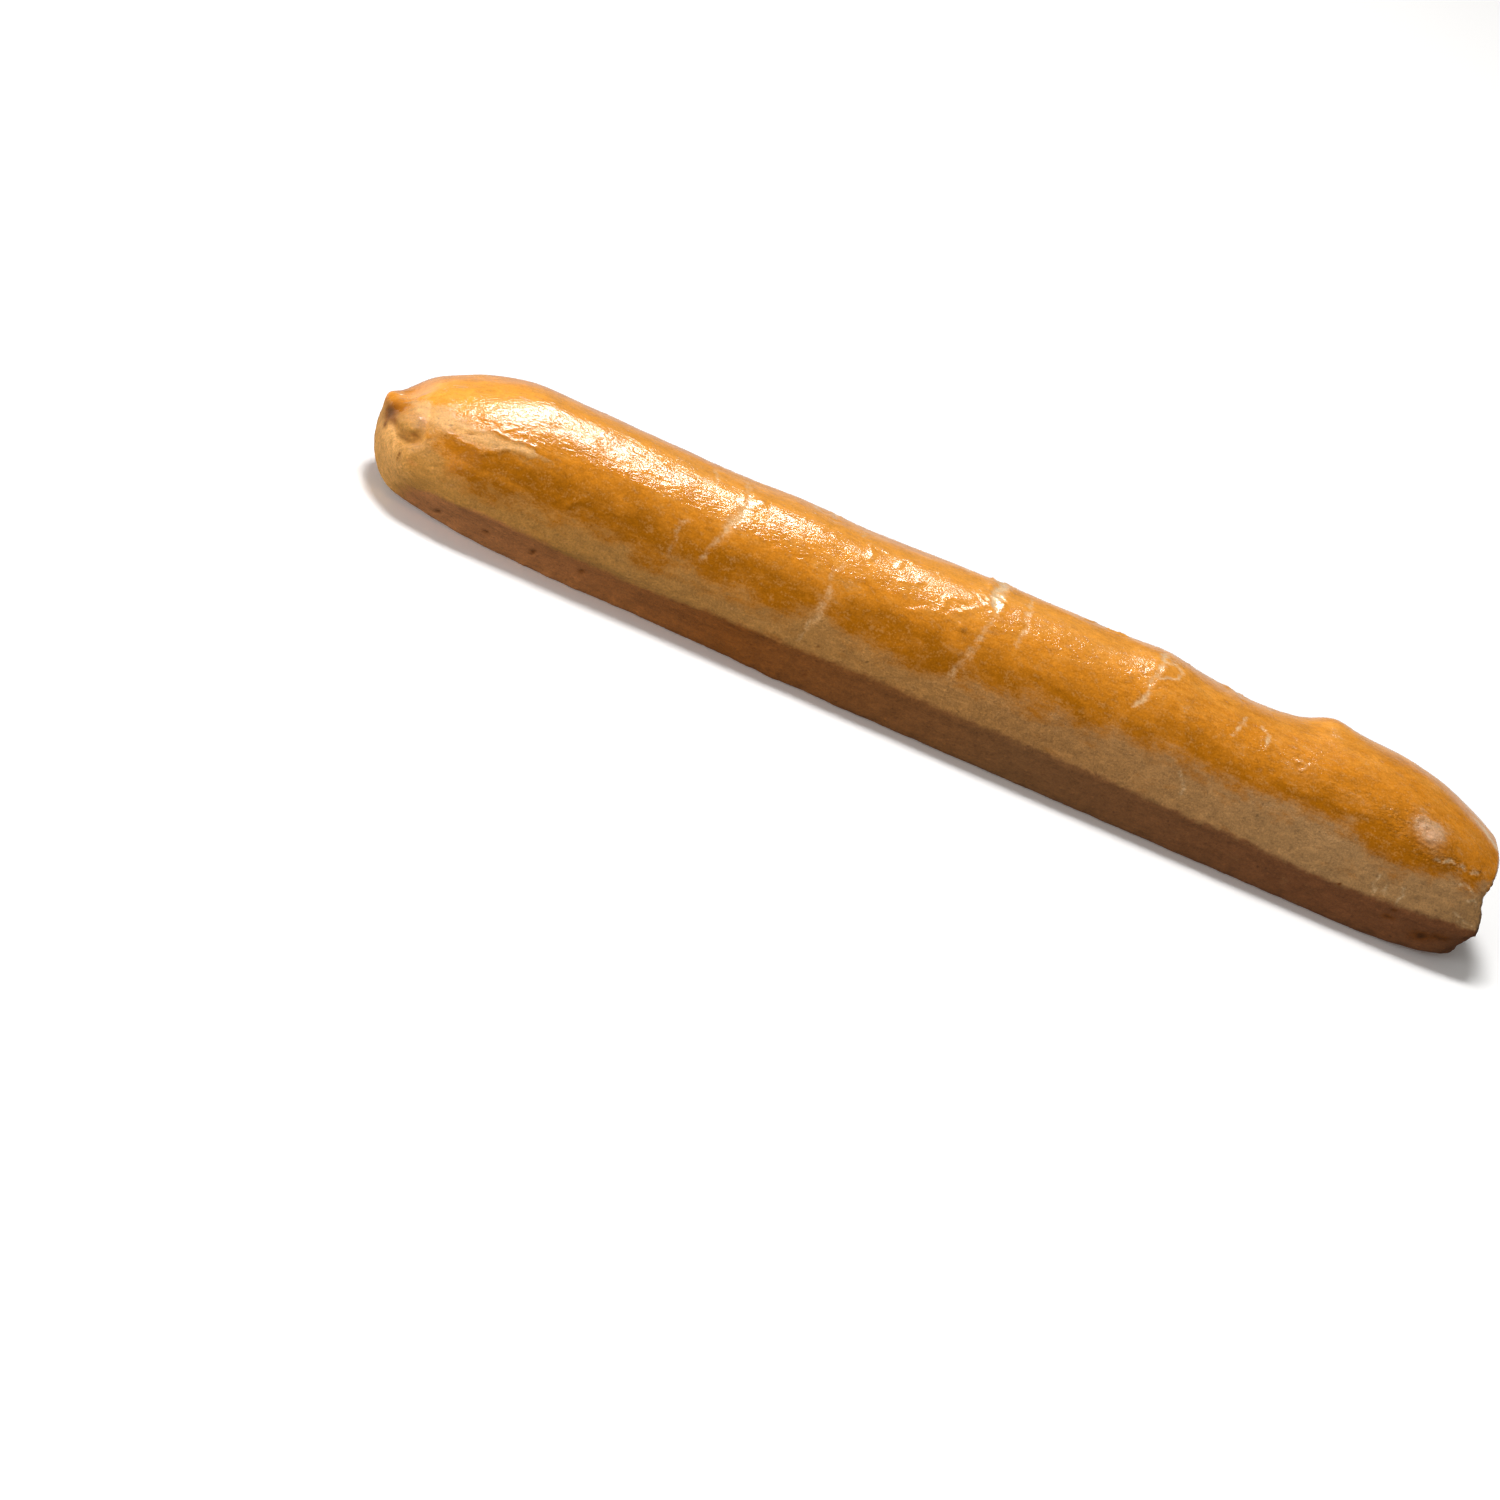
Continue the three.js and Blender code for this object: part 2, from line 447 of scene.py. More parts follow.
    def grooved(self, points: np.ndarray) -> np.ndarray:
        """Cuts the groove round the lobe of the left end towards the log's core.

        Args:
            points: The swollen log's points.

        Returns:
            The moved points.
        """
        deepest = np.zeros(points.shape[:-1])
        for (start, depth0), (stop, depth1) in zip(self.groove[:-1], self.groove[1:]):
            run = np.subtract(stop, start)
            share = np.clip((points - start) @ run / (run @ run), 0, 1)
            away = np.linalg.norm(points - start - share[..., None] * run, axis=-1)
            depth = (depth0 + share * (depth1 - depth0)) * bell(away, self.groove_width)
            deepest = np.maximum(deepest, depth)
        end = self.length / 2 - self.core_end_gap
        core = np.zeros_like(points)
        core[..., 0] = np.clip(points[..., 0], -end, end)
        core[..., 2] = self.core_height
        inward = core - points
        inward /= np.linalg.norm(inward, axis=-1, keepdims=True)
        return points + deepest[..., None] * inward

    def softened(self, points: np.ndarray, girths: np.ndarray, places: np.ndarray) -> np.ndarray:
        """Rounds off the crease near the left tip, where the dough was pinched.

        Args:
            points: The log's points.
            girths: How far round they lie.
            places: Where their rings lie along the log.

        Returns:
            The moved points.
        """
        near = bell(np.abs(girths) - self.soft_girth, self.soft_reach)[None, :, None]
        share = 0.5 * near * smooth_step(-places, *self.soft_from)[:, None, None]
        for _ in range(self.soft_rounds):
            beside = (np.roll(points, 1, axis=1) + np.roll(points, -1, axis=1)) / 2
            points = points + share * (beside - points)
        return points

    def skin(self, low: Vector, high: Vector) -> Skin:
        """Works out the whole skin and stands it where the solid stands.

        Args:
            low: The lowest corner of the solid's box, in metres.
            high: Its highest corner.

        Returns:
            The skin, one row of points for each ring.
        """
        section, places = self.section(), self.places()
        points = self.grooved(self.swollen(self.plain(places, section)))
        flat = points.reshape(-1, 3)
        middle = (flat.min(axis=0) + flat.max(axis=0)) / 2
        target = (np.array(low) + np.array(high)) / 2 / MM
        points += (target[0] - middle[0], target[1] - middle[1], -flat[:, 2].min())
        shift = target[0] - middle[0]
        points = self.softened(points, self.girths(section), places)
        along, girth = np.meshgrid(places + shift, self.girths(section), indexing="ij")
        opened = np.broadcast_to(self.of_end(places, LogEnd.closing)[:, None], girth.shape)
        return Skin(along, girth, points, opened)


def outward(points: np.ndarray) -> np.ndarray:
    """Unit normals of a grid of points whose rings close on themselves.

    Args:
        points: The points, by ring and by place round it.

    Returns:
        One normal a point.
    """
    down = np.gradient(points, axis=0)
    ring = np.concatenate([points[:, -1:], points, points[:, :1]], axis=1)
    across = (ring[:, 2:] - ring[:, :-2]) / 2
    normal = np.cross(across, down)
    size = np.linalg.norm(normal, axis=-1, keepdims=True)
    normal = normal / np.maximum(size, 1e-9)
    sign = -1 if normal[points.shape[0] // 2, points.shape[1] // 2, 2] < 0 else 1
    return sign * normal


# ---------------------------------------------------------------- the crust's relief


class Side(Enum):
    """The side of the log that a mark lies on."""

    FRONT = 1
    BACK = -1


@dataclass(frozen=True)
class Crack:
    """A crack across the glaze, which shows pale dough between two low lips."""

    path: tuple[Triple, ...]  # along, girth, width
    depth: float
    lip: float
    paleness: float


@dataclass(frozen=True)
class Stroke:
    """A brush stroke or a ridge. Where its strength is negative, less was laid there."""

    path: tuple[Triple, ...]
    strength: float

    def laid(self, along: np.ndarray, girth: np.ndarray) -> np.ndarray:
        """How thick the stroke lies at each place."""
        away, width = path_reading(along, girth, self.path)
        return self.strength * bell(away / width)


def laid_strokes(strokes: tuple[Stroke, ...], along: np.ndarray, girth: np.ndarray) -> np.ndarray:
    """How thick a set of strokes lies at each place."""
    return sum(stroke.laid(along, girth) for stroke in strokes)


@dataclass(frozen=True)
class Spot:
    """A round or oval mark: its place, its size along and round, its height and its char and painted
    shade.
    """

    at: Pair
    size: Pair
    height: float = 0.0
    char: float = 0.0

    def away(self, along: np.ndarray, girth: np.ndarray) -> np.ndarray:
        """How far places lie from the spot's middle, in its own sizes."""
        return np.hypot((along - self.at[0]) / self.size[0], (girth - self.at[1]) / self.size[1])


@dataclass(frozen=True)
class Patchiness:
    """How a mark comes and goes: over what length, round what level, how far and how high."""

    size: float
    seed: int
    level: float
    swing: float
    most: float

    def at(self, along: np.ndarray, girth: np.ndarray) -> np.ndarray:
        """What of the mark is left at each place."""
        waves = self.swing * wander(along, girth, self.size, self.seed)
        return np.clip(self.level + waves, 0, self.most)


@dataclass(frozen=True)
class Rings:
    """Ripples round a point, as round a blister that rose and fell back."""

    at: Pair
    size: Pair
    height: float
    spacing: float
    facing: float  # where round the point they are strongest, in degrees
    spread: float

    def risen(self, along: np.ndarray, girth: np.ndarray) -> np.ndarray:
        """How high the ripples stand at each place.

        Args:
            along: Places along the log, in millimetres.
            girth: How far round from the crown each place is, in millimetres.

        Returns:
            The heights, in millimetres.
        """
        dx, dg = along - self.at[0], girth - self.at[1]
        away = Spot(self.at, self.size).away(along, girth)
        turn = np.degrees(np.arctan2(-dg, dx)) - self.facing
        turn = np.abs((turn + 180) % 360 - 180)
        share = smooth_step(self.spread / 2 - turn, -25, 25)
        wave = np.cos(2 * np.pi * np.hypot(dx, dg) / self.spacing)
        return self.height * wave * bell(away, 0.8) * share


@dataclass
class CrustMarks:
    """Every mark on the front of the crust, by its place on the unrolled skin."""

    cracks: tuple[Crack, ...] = (
        Crack(((-67.5, -9, 0.5), (-69.5, 0, 0.6), (-70.5, 6, 0.5), (-70, 11, 0.3)),
              0.1, 0.08, 0.55),
        Crack(((-61.5, -4, 0.4), (-61.8, 4, 0.6), (-61.2, 9, 0.9)), 0.15, 0.2, 0.5),
        Crack(((-61.2, 10, 1.0), (-62, 14, 1.5), (-64, 17, 1.3), (-65, 20, 0.8)), 0.2, 0.1, 0.7),
        Crack(((-65, 20, 1.0), (-67, 24.5, 0.8), (-68.4, 29, 0.5)), 0.12, 0.06, 0.42),
        Crack(((-75, 21, 0.4), (-75.6, 26, 0.5), (-76, 31, 0.4)), 0.08, 0.05, 0.4),
        Crack(((-35, 16, 0.5), (-36.5, 20, 0.6), (-37, 25, 0.6), (-36.6, 31, 0.7),
               (-38.8, 37, 0.5)), 0.12, 0.06, 0.4),
        Crack(((-29.5, -8, 0.5), (-31, 2, 0.3)), 0.1, 0.06, 0.5),
        Crack(((9.5, -8, 0.8), (6.4, -1, 1.1), (4.7, 4, 1.3), (4.2, 9, 1.2)), 0.2, 0.25, 1.0),
        Crack(((4.2, 9.5, 0.9), (5.3, 13, 0.6), (3, 18, 0.8), (1.4, 24, 1.3), (-0.4, 31, 1.0)),
              0.12, 0.06, 0.38),
        Crack(((15, -6, 0.3), (12.8, 4, 0.5), (12.9, 9, 0.6), (13.2, 12, 0.7), (11.6, 17, 0.4)),
              0.12, 0.15, 0.55),
        Crack(((51, -8, 0.8), (49.8, 1, 1.0), (48.4, 7, 0.7)), 0.15, 0.1, 0.7),
        Crack(((48.4, 7, 0.7), (48, 11, 0.8), (46.6, 15, 0.7), (44.6, 20.5, 0.4)), 0.15, 0.15, 0.6),
        Crack(((49.6, 4, 0.4), (55, 4.6, 0.6), (53, 8, 0.4), (49, 11.5, 0.3)), 0.12, 0.1, 0.7),
        # two dashes of lifted glaze near the crown, painted pale: partly fresh layers, partly a
        # painted highlight of the glints on their lips
        Crack(((73.4, 7.5, 0.3), (72, 11, 0.5), (70.6, 16, 0.3)), 0.1, 0.25, 0.7),
        Crack(((78, 9, 0.4), (80, 11.8, 0.5), (79, 15, 0.4)), 0.1, 0.25, 0.7),
        Crack(((60.5, 30, 0.3), (63, 33, 0.4), (63.4, 36.5, 0.3)), 0.1, 0.05, 0.5),
        # the bead row along the fold of the right end
        Crack(((127.6, 24.6, 0.3), (129, 23.8, 0.45), (130.6, 24, 0.3)), 0.0, 0.3, 0.55),
        Crack(((131.4, 24, 0.3), (132.6, 23, 0.5), (134.4, 23.2, 0.3)), 0.0, 0.3, 0.6),
        Crack(((135.2, 22.8, 0.3), (136.4, 21.8, 0.45), (137.6, 22, 0.3)), 0.0, 0.3, 0.55),
        Crack(((138.4, 21.6, 0.3), (139.8, 20.6, 0.45), (141.4, 20.4, 0.3)), 0.0, 0.3, 0.6),
        # curls of torn layers below it
        Crack(((137.4, 26.6, 0.3), (139.4, 25, 0.4), (141.4, 26.4, 0.3)), 0.1, 0.3, 0.7),
        Crack(((140.6, 29.6, 0.3), (143, 28, 0.4), (144.4, 29.8, 0.3)), 0.1, 0.3, 0.6),
        Crack(((117.4, 34.4, 0.25), (116.8, 36.4, 0.4), (118.4, 37.6, 0.25)), 0.0, 0.25, 0.6),
        Crack(((120.4, 35.4, 0.25), (120, 37.4, 0.35), (121.4, 38, 0.25)), 0.0, 0.25, 0.5),
        Crack(((124.4, 34.4, 0.25), (125, 37, 0.4), (124.4, 38.4, 0.25)), 0.0, 0.25, 0.6),
        Crack(((138.6, 34.8, 0.3), (142, 35.4, 0.5), (145.4, 35.4, 0.3)), 0.1, 0.35, 0.6),
        Crack(((140.6, 37.4, 0.3), (144, 37.4, 0.5), (148, 36.6, 0.3)), 0.1, 0.35, 0.6),
        Crack(((143, 39.8, 0.3), (145.6, 39.6, 0.4), (148, 39.2, 0.3)), 0.1, 0.3, 0.5),
    )
    ridges: tuple[Stroke, ...] = (
        Stroke(((-28.6, 9.5, 0.5), (-28.2, 4.6, 0.5), (-26, 3.8, 0.5), (-23.6, 4.4, 0.4)), 0.3),
        Stroke(((-21, 9, 0.4), (-20.2, 4.2, 0.5), (-18.2, 4.6, 0.5)), 0.25),
        Stroke(((-20.4, 13.4, 0.5), (-17.6, 12.2, 0.8), (-15, 11.4, 0.5)), 0.3),
        Stroke(((-9, 16.6, 0.4), (-7.8, 12.6, 0.7), (-4, 12, 0.7)), 0.28),
        Stroke(((-6.4, 17, 0.5), (-3, 14.6, 0.6), (1.2, 12.2, 0.6)), 0.3),
        Stroke(((-16, 19.8, 0.4), (-12, 18.4, 0.5), (-8, 17.8, 0.5), (-4, 18.2, 0.5),
                (0, 19.5, 0.4)), 0.3),
        Stroke(((84, 21.6, 0.6), (91, 23, 0.9), (98, 22.2, 0.7), (104, 23.4, 0.9),
                (112, 20.6, 0.5)), 0.22),
        Stroke(((-141.6, 8, 0.4), (-139, 10.5, 0.45), (-136.5, 10.8, 0.4)), 0.22),
        Stroke(((-142, 11, 0.4), (-139.4, 13, 0.45), (-136.5, 13.4, 0.4)), 0.2),
        Stroke(((-134.5, 18.3, 0.45), (-128, 19.4, 0.5), (-120, 20.2, 0.45), (-115, 20.4, 0.4)), 0.35),
        Stroke(((-136.8, 21.2, 0.6), (-134, 23.6, 0.6), (-130, 23.8, 0.6), (-125, 24.6, 0.6),
                (-121.5, 23.2, 0.6), (-116, 22.2, 0.5)), 0.3),
    )
    bare: tuple[Stroke, ...] = (
        Stroke(((-142, 12, 3.2), (-138, 17, 3.6), (-131, 20.8, 2.9), (-124, 22.2, 2.2),
                (-116, 21.8, 1.0)), 1.0),
        Stroke(((-116, 22, 0.9), (-110, 22.4, 0.5)), 0.5),
        # the side of the left tip
        Stroke(((-150, 30, 8), (-146, 44, 8), (-143, 50, 5)), 0.7),
    )
    strokes: tuple[Stroke, ...] = (
        Stroke(((-136.4, 22.6, 0.9), (-133, 25.2, 1.9), (-126, 27, 2.2), (-117, 27.6, 2),
                (-108, 27, 1.4)), 1.0),
        Stroke(((-137, 34.6, 1.2), (-130, 33.4, 1.9), (-124, 33, 1.9), (-116, 33.2, 1.3)), 0.9),
        Stroke(((-136, 30, 1.4), (-128, 30.2, 1.6), (-115, 30, 1.2)), -0.7),
        Stroke(((-112, 29, 2.6), (-95, 28.5, 3.2), (-75, 28.5, 3), (-60, 29, 2.6)), 0.75),
        Stroke(((-58, 27, 2.6), (-45, 27.5, 3), (-30, 28, 3.2)), 0.85),
        Stroke(((-24, 26, 3), (-10, 26, 3.4), (2, 27, 3)), 0.85),
        Stroke(((12, 26, 2), (22, 23.6, 2.4), (30, 25, 1.6)), 0.7),
        Stroke(((52, 20, 2.4), (66, 21, 2.4)), 0.5),
        Stroke(((84, 22.4, 0.9), (91, 23.8, 1.2), (97, 22.8, 0.8), (103, 24.2, 1.3),
                (109, 23, 0.9)), 0.55),
        Stroke(((109, 27, 2), (114, 27.4, 2.4), (121, 28, 1.4)), 1.0),
        Stroke(((134.6, 32, 1.2), (137.4, 32.4, 1.6), (139.4, 31.6, 1.2)), 0.9),
        Stroke(((-134.5, 19, 0.5), (-128, 20, 0.6), (-119, 20.8, 0.5)), 0.9),
    )
    crinkles: tuple[Stroke, ...] = (
        Stroke(((-138, 12, 7), (-128, 13, 7), (-117, 14, 6)), 0.5),
        Stroke(((-112, 13, 7), (-80, 11, 7), (-60, 12, 7)), 0.38),
        Stroke(((-54, 10, 4), (-34, 10, 4)), 0.2),
        Stroke(((-133, 17, 2), (-112, 19, 2.5), (-90, 17, 2.5), (-62, 17, 3.5)), 0.5),
        Stroke(((-58, 17, 4), (-35, 17, 4.5), (-10, 15, 5), (20, 14, 5), (50, 13, 5)), 0.8),
        Stroke(((60, 14, 5), (90, 16, 5), (112, 19, 5), (126, 20, 6)), 0.9),
        # the bead row, the wrinkles by the blister, and the torn layers at the right tip
        Stroke(((125, 24.4, 1.4), (133, 23.2, 1.6), (142, 20, 1.4)), 1.6),
        Stroke(((114, 17, 2), (117.5, 22, 2), (122, 24.6, 1.6)), 1.2),
        Stroke(((121, 16, 3), (126, 14.6, 3), (132, 16, 3)), 1.1),
        Stroke(((137, 25, 2), (140, 30, 3), (142, 36, 3), (147, 38, 3)), 1.4),
        # the knobbly ear
        Stroke(((-149, 2, 3), (-146, 7, 3), (-143, 9, 2)), 1.0),
    )
    spots: tuple[Spot, ...] = (
        # broad swells and dents that bend the highlight
        Spot((-104, 21), (20, 8), 1.1),
        Spot((-122, 21), (9, 7), 0.5),
        Spot((-80, 19.5), (17, 6), 0.35),
        # pits and char on the foot
        Spot((-129.5, 47.6), (0.8, 1.0), -0.5, 0.7),
        Spot((-117.5, 46.3), (0.9, 0.9), -0.55, 0.7),
        Spot((-105, 45.8), (0.7, 1.0), -0.55, 0.7),
        Spot((-91.7, 45.7), (0.6, 1.0), -0.5, 0.7),
        Spot((-33, 37.3), (0.4, 0.4), -0.3, 0.8),
        Spot((-32.5, 45.7), (0.5, 0.5), -0.3, 0.6),
        Spot((-17, 44.8), (0.4, 0.4), -0.25, 0.5),
        Spot((78, 46), (0.4, 0.4), -0.25, 0.5),
        Spot((93.5, 46.6), (0.4, 0.4), -0.25, 0.6),
        Spot((109.6, 40), (0.5, 0.4), -0.3, 0.9),
        Spot((125.4, 40.4), (0.45, 0.45), -0.3, 0.9),
        Spot((124.6, 44), (1.8, 0.9), -0.2, 0.95),
        Spot((135.2, 45.6), (3.0, 1.9), -0.2, 0.95),
        Spot((139.4, 43.6), (2.2, 1.2), -0.1, 0.9),
        # the blob and the crescent beside it
        Spot((-102.1, 28.6), (1.0, 0.7), 0.6),
        Spot((-99.8, 28.2), (1.3, 1.2), 0.25),
        # two gaps under the torn glaze, dented and darkened with painted shade
        Spot((-134.6, 20.6), (0.5, 0.5), -0.5, 0.35),
        Spot((-130.8, 20.2), (1.0, 0.4), -0.5, 0.4),
        # drips of egg wash on the pale side
        Spot((113, 35.8), (0.6, 0.7), 0.3),
        Spot((115.8, 36.8), (0.8, 0.6), 0.3),
        Spot((118.6, 36), (0.4, 0.7), 0.25),
        Spot((124, 35), (0.5, 0.9), 0.3),
        # sparks of thick glaze
        Spot((-58.5, 6.6), (1.0, 1.6), 0.4),
        Spot((-46.8, 6), (0.3, 1.0), 0.25),
        Spot((-10.4, 4), (0.3, 0.9), 0.25),
        Spot((-2.4, 18.6), (0.8, 0.5), 0.3),
        Spot((101.6, 17.8), (0.9, 0.5), 0.3),
        Spot((110, 11.8), (1.2, 0.4), 0.25),
        Spot((113, 12), (1.6, 0.5), 0.3),
        Spot((128.4, 14), (0.4, 1.0), 0.25),
    )
    rings: tuple[Rings, ...] = (
        Rings((125, 19), (8, 6), 0.3, 1.8, 200, 230),
        Rings((88.6, 16), (4.2, 4.6), 0.42, 1.5, 20, 170),
    )
    # a pale streak of painted sheen across the right tip's facet
    painted_sheen: Stroke = Stroke(((139, 1, 1.3), (142.5, 2.6, 2.0), (146.4, 5, 1.6)), 0.75)
    blister: Spot = Spot((125.2, 19), (3.6, 2.7), 0.12)
    scorches_and_shade: tuple[Patch, ...] = (
        # the burnt tip of the ear and the spot below it, then painted shade along the ear's lower
        # edge, down the groove round the lobe and in its pit
        Patch((-149.6, -4.2, 18.8), (4.0, 4.2, 3.4), 0.55),
        Patch((-149.2, -4.8, 18.4), (2.2, 2.4, 1.8), 0.35),
        Patch((-148.9, -6.8, 15.8), (1.8, 1.1, 0.9), 0.5),
        Patch((-147.4, -9, 18.2), (1.8, 3, 1.0), 0.4),
        Patch((-145, -14.6, 17.6), (1.8, 2.2, 0.9), 0.34),
        Patch((-142.6, -17.2, 19.2), (1.6, 1.8, 1.6), 0.42),
        Patch((-145.8, -4.8, 21.4), (2.6, 2.6, 1.5), 0.3),
    )
    knobs: tuple[Patch, ...] = (
        Patch((-148.6, -3.2, 20.4), 1.3, 0.5),
        Patch((-147.6, -1.6, 21.8), 1.1, 0.6),
        Patch((-146.6, -3.9, 22.1), 0.9, 0.55),
        Patch((-145, -4.6, 23.2), 1.0, 0.5),
        Patch((-143.6, -2.4, 24.4), 1.2, 0.4),
        Patch((-147.2, -5.4, 20.6), 1.1, -0.5),
        Patch((-145.6, -2.6, 22.8), 0.8, -0.35),
        Patch((-148.4, -7.8, 17.2), 1.2, 0.5),
        Patch((-142.4, -17, 19.4), 1.2, -0.8),
        Patch((-145.2, -11.6, 20.8), 2.6, 0.5),
        Patch((-143.6, -20.2, 15.8), 1.5, 0.45),
    )
    # a slit in the left tip, drawn only as a dark line of painted shade
    painted_slit_shade: Stroke = Stroke(((-143.9, 34, 0.35), (-144.6, 37.4, 0.35)), 0.6)
    bead_row: tuple[Pair, Pair] = ((124, 24.2), (141.5, 19.4))
    bead_row_count: int = 12


@dataclass
class CrustSkin:
    """Works out the crust's relief and its baked colours on the unrolled skin."""

    skin: Skin
    marks: CrustMarks = field(default_factory=CrustMarks)
    back_shift: float = 11.0  # how far the back's marks are moved along from the front's
    # how far behind the middle the front's look fades, and how much farther at the tips
    side_blend: Pair = (5.0, 9.0)
    level_girth: float = 33.0  # lower than this the skin turns under
    tip_girth: float = 38.0  # what the marks read at the very tips
    coarse_wander: Pair = (0.7, 9.0)  # how far marks stray, and over what length
    fine_wander: Pair = (0.3, 2.2)
    lip_gap: float = 1.7  # from a crack's middle to its lips, in widths
    lip_reach: float = 0.8
    crack_breaks: Patchiness = Patchiness(2.6, 5, 0.6, 0.6, 1.3)
    paleness_breaks: Patchiness = Patchiness(2.2, 6, 0.85, 0.4, 1.0)
    pale_reach: float = 1.35  # across a crack, in widths
    crest_highlight: float = 0.5  # painted highlight on the crests of ripples, where they rise out of the glaze
    crest_start: Pair = (0.25, 0.8)
    bead_size: Pair = (0.45, 0.75)
    bead_height: float = 0.3
    bead_wobble: Pair = (0.5, 5.1)  # how far beads stray from their row, and how it turns
    blister_bare: Pair = (0.92, 1.45)  # how bare of glaze, and out to where in its own sizes
    blister_flush: Pair = (0.65, 0.9)
    held_tip: Pair = (0.7, 1.0)  # marks end at the middle of a tip, where the nose closes
    crease_girth: float = 40.7
    crease_ledge: float = 0.28
    crease_reach: float = 2.6
    ledge_start: Pair = (-136, -124)
    ragged_start: Pair = (140, 147)
    ragged_girth: Pair = (12, 22)
    ragged_size: float = 4.5
    ragged_height: float = 0.4
    # the lower edge of the egg wash, and how soft that edge is
    glaze_edge: tuple[Pair, ...] = (
        (-149.5, 30), (-148, 23), (-143, 18.6), (-138, 24), (-133, 34.5), (-118, 35), (-112, 33.6),
        (-105, 34.8), (-96, 33.2), (-86, 33.6), (-81, 36), (-77, 36), (-74.6, 33), (-66, 33),
        (-60, 34), (-50, 33.4), (-41, 32.4), (-35, 30.8), (-29, 32.4), (-10, 32.4), (4, 31.4),
        (20, 29.8), (35, 29), (50, 28.6), (65, 28.2), (80, 28), (96, 26.6), (108, 27), (112, 30.6),
        (122, 30.6), (132, 28), (140, 25), (146, 21.4), (148, 23), (150, 28),
    )
    glaze_softness: tuple[Pair, ...] = (
        (-150, 8), (-138, 8), (-130, 4.5), (-60, 4), (0, 4), (40, 5), (100, 5), (112, 3.4), (150, 4),
    )
    # how deep the wash bakes: by the place round the log, what the right end adds, and strokes
    bake_round: tuple[Pair, ...] = (
        (4, 0.0), (12, 0.22), (20, 0.53), (24, 0.72), (28, 0.82), (34, 0.88),
    )
    bake_along: tuple[Pair, ...] = ((0, 0.0), (60, 0.15), (100, 0.25), (150, 0.25))
    bake_stroke: float = 0.35
    most_crinkle: float = 2.6
    # the upper edge of the browned foot
    foot_edge: tuple[Pair, ...] = (
        (-139, 43.5), (-134, 41.2), (-120, 40), (-110, 40.6), (-100, 41.8), (-80, 42),
        (-70, 41.4), (-60, 40.2), (-30, 39.6), (-20, 38.9), (0, 39.2), (40, 38.9), (60, 39.4),
        (80, 39.2), (100, 40.2), (116, 39.8), (126, 39), (136, 37.8), (147, 37),
    )
    foot_fade: Pair = (-143, -134)  # the foot's brown sets in over this stretch
    foot_sharpness: float = 1.4
    foot_wave: tuple[Pair, ...] = ((0.55, 9.0), (0.3, 4.0))  # how far, over what length
    foot_wave_height: float = 6.0
    foot_wave_across: Pair = (6, 17)  # from the middle of the base
    foot_wave_along: tuple[Pair, ...] = ((-150, 0.8), (-20, 0.8), (30, 0.4), (150, 0.35))

    def side(self, which: Side) -> tuple[np.ndarray, np.ndarray]:
        """The skin's places as one side sees them. The back's run the other way along.

        Args:
            which: The side.

        Returns:
            The places along the log, and round it.
        """
        along, girth = self.skin.along, self.skin.girth
        if which is Side.BACK:
            along, girth = self.back_shift - along, -girth
        girth = np.where(np.abs(girth) > self.level_girth, np.abs(girth), girth)
        girth = self.tip_girth + (girth - self.tip_girth) * self.skin.opened
        return along + self.stray(along, girth, 0), girth + self.stray(along, girth, 1)

    def share(self, which: Side) -> np.ndarray:
        """How much of one side's look each point takes: all of it on its own side.

        Args:
            which: The side.

        Returns:
            The shares, from 0 to 1.
        """
        reach = self.side_blend[0] + self.side_blend[1] * (1 - self.skin.opened)
        front = smooth_step(1 - self.skin.points[..., 1] / reach, 0, 1)
        return front if which is Side.FRONT else 1 - front

    def stray(self, along: np.ndarray, girth: np.ndarray, way: int) -> np.ndarray:
        """How far the marks stray from their drawn places, along (0) or round (1) the log.

        Args:
            along: Places along the log, in millimetres.
            girth: How far round from the crown each place is, in millimetres.
            way: 0 or 1.

        Returns:
            The distances, in millimetres.
        """
        return sum(
            far * wander(along, girth, size, 10 * way + int(size))
            for far, size in (self.coarse_wander, self.fine_wander)
        )

    def foot_waves(self) -> np.ndarray:
        """How far the foot's lower edge bulges sideways, in millimetres.

        Returns:
            The distances, towards the back where above 0.
        """
        along, girth = self.skin.along, self.skin.girth
        across, height = self.skin.points[..., 1], self.skin.points[..., 2]
        wave = sum(
            far * wander(along, 0.3 * girth, size, 40 + int(size)) for far, size in self.foot_wave
        )
        wave = wave * along_stops(along, self.foot_wave_along)
        wave = wave * smooth_step(np.abs(across), *self.foot_wave_across)
        return np.sign(across) * wave * smooth_step(-height, -self.foot_wave_height, 0)

    def relief(self) -> np.ndarray:
        """How far each point of the skin is moved outwards, in millimetres.

        Returns:
            The distances.
        """
        marks, total = self.marks, 0.0
        crown = smooth_step(self.skin.opened, *self.held_tip)
        crown = crown * (np.abs(self.skin.girth) < self.level_girth)
        for which in Side:
            along, girth = self.side(which)
            moved = self.ledge(girth) * smooth_step(along, *self.ledge_start)
            broken = self.crack_breaks.at(along, girth)
            for crack in marks.cracks:
                away, width = path_reading(along, girth, crack.path)
                lips = bell(away - self.lip_gap * width, self.lip_reach) * width
                moved += broken * (crack.lip * lips - crack.depth * bell(away / width))
            for ridge in marks.ridges:
                moved += ridge.laid(along, girth)
            for spot in marks.spots + (marks.blister,):
                moved += spot.height * bell(spot.away(along, girth))
            for ripple in marks.rings:
                moved += ripple.risen(along, girth)
            moved += self.bead_row(along, girth)
            if which is Side.FRONT:
                for knob in marks.knobs:
                    moved += knob.strength * knob.share(self.skin.points)
                moved += self.ragged_tip(along, girth)
            total = total + np.maximum(self.share(which), crown) * moved
        return total

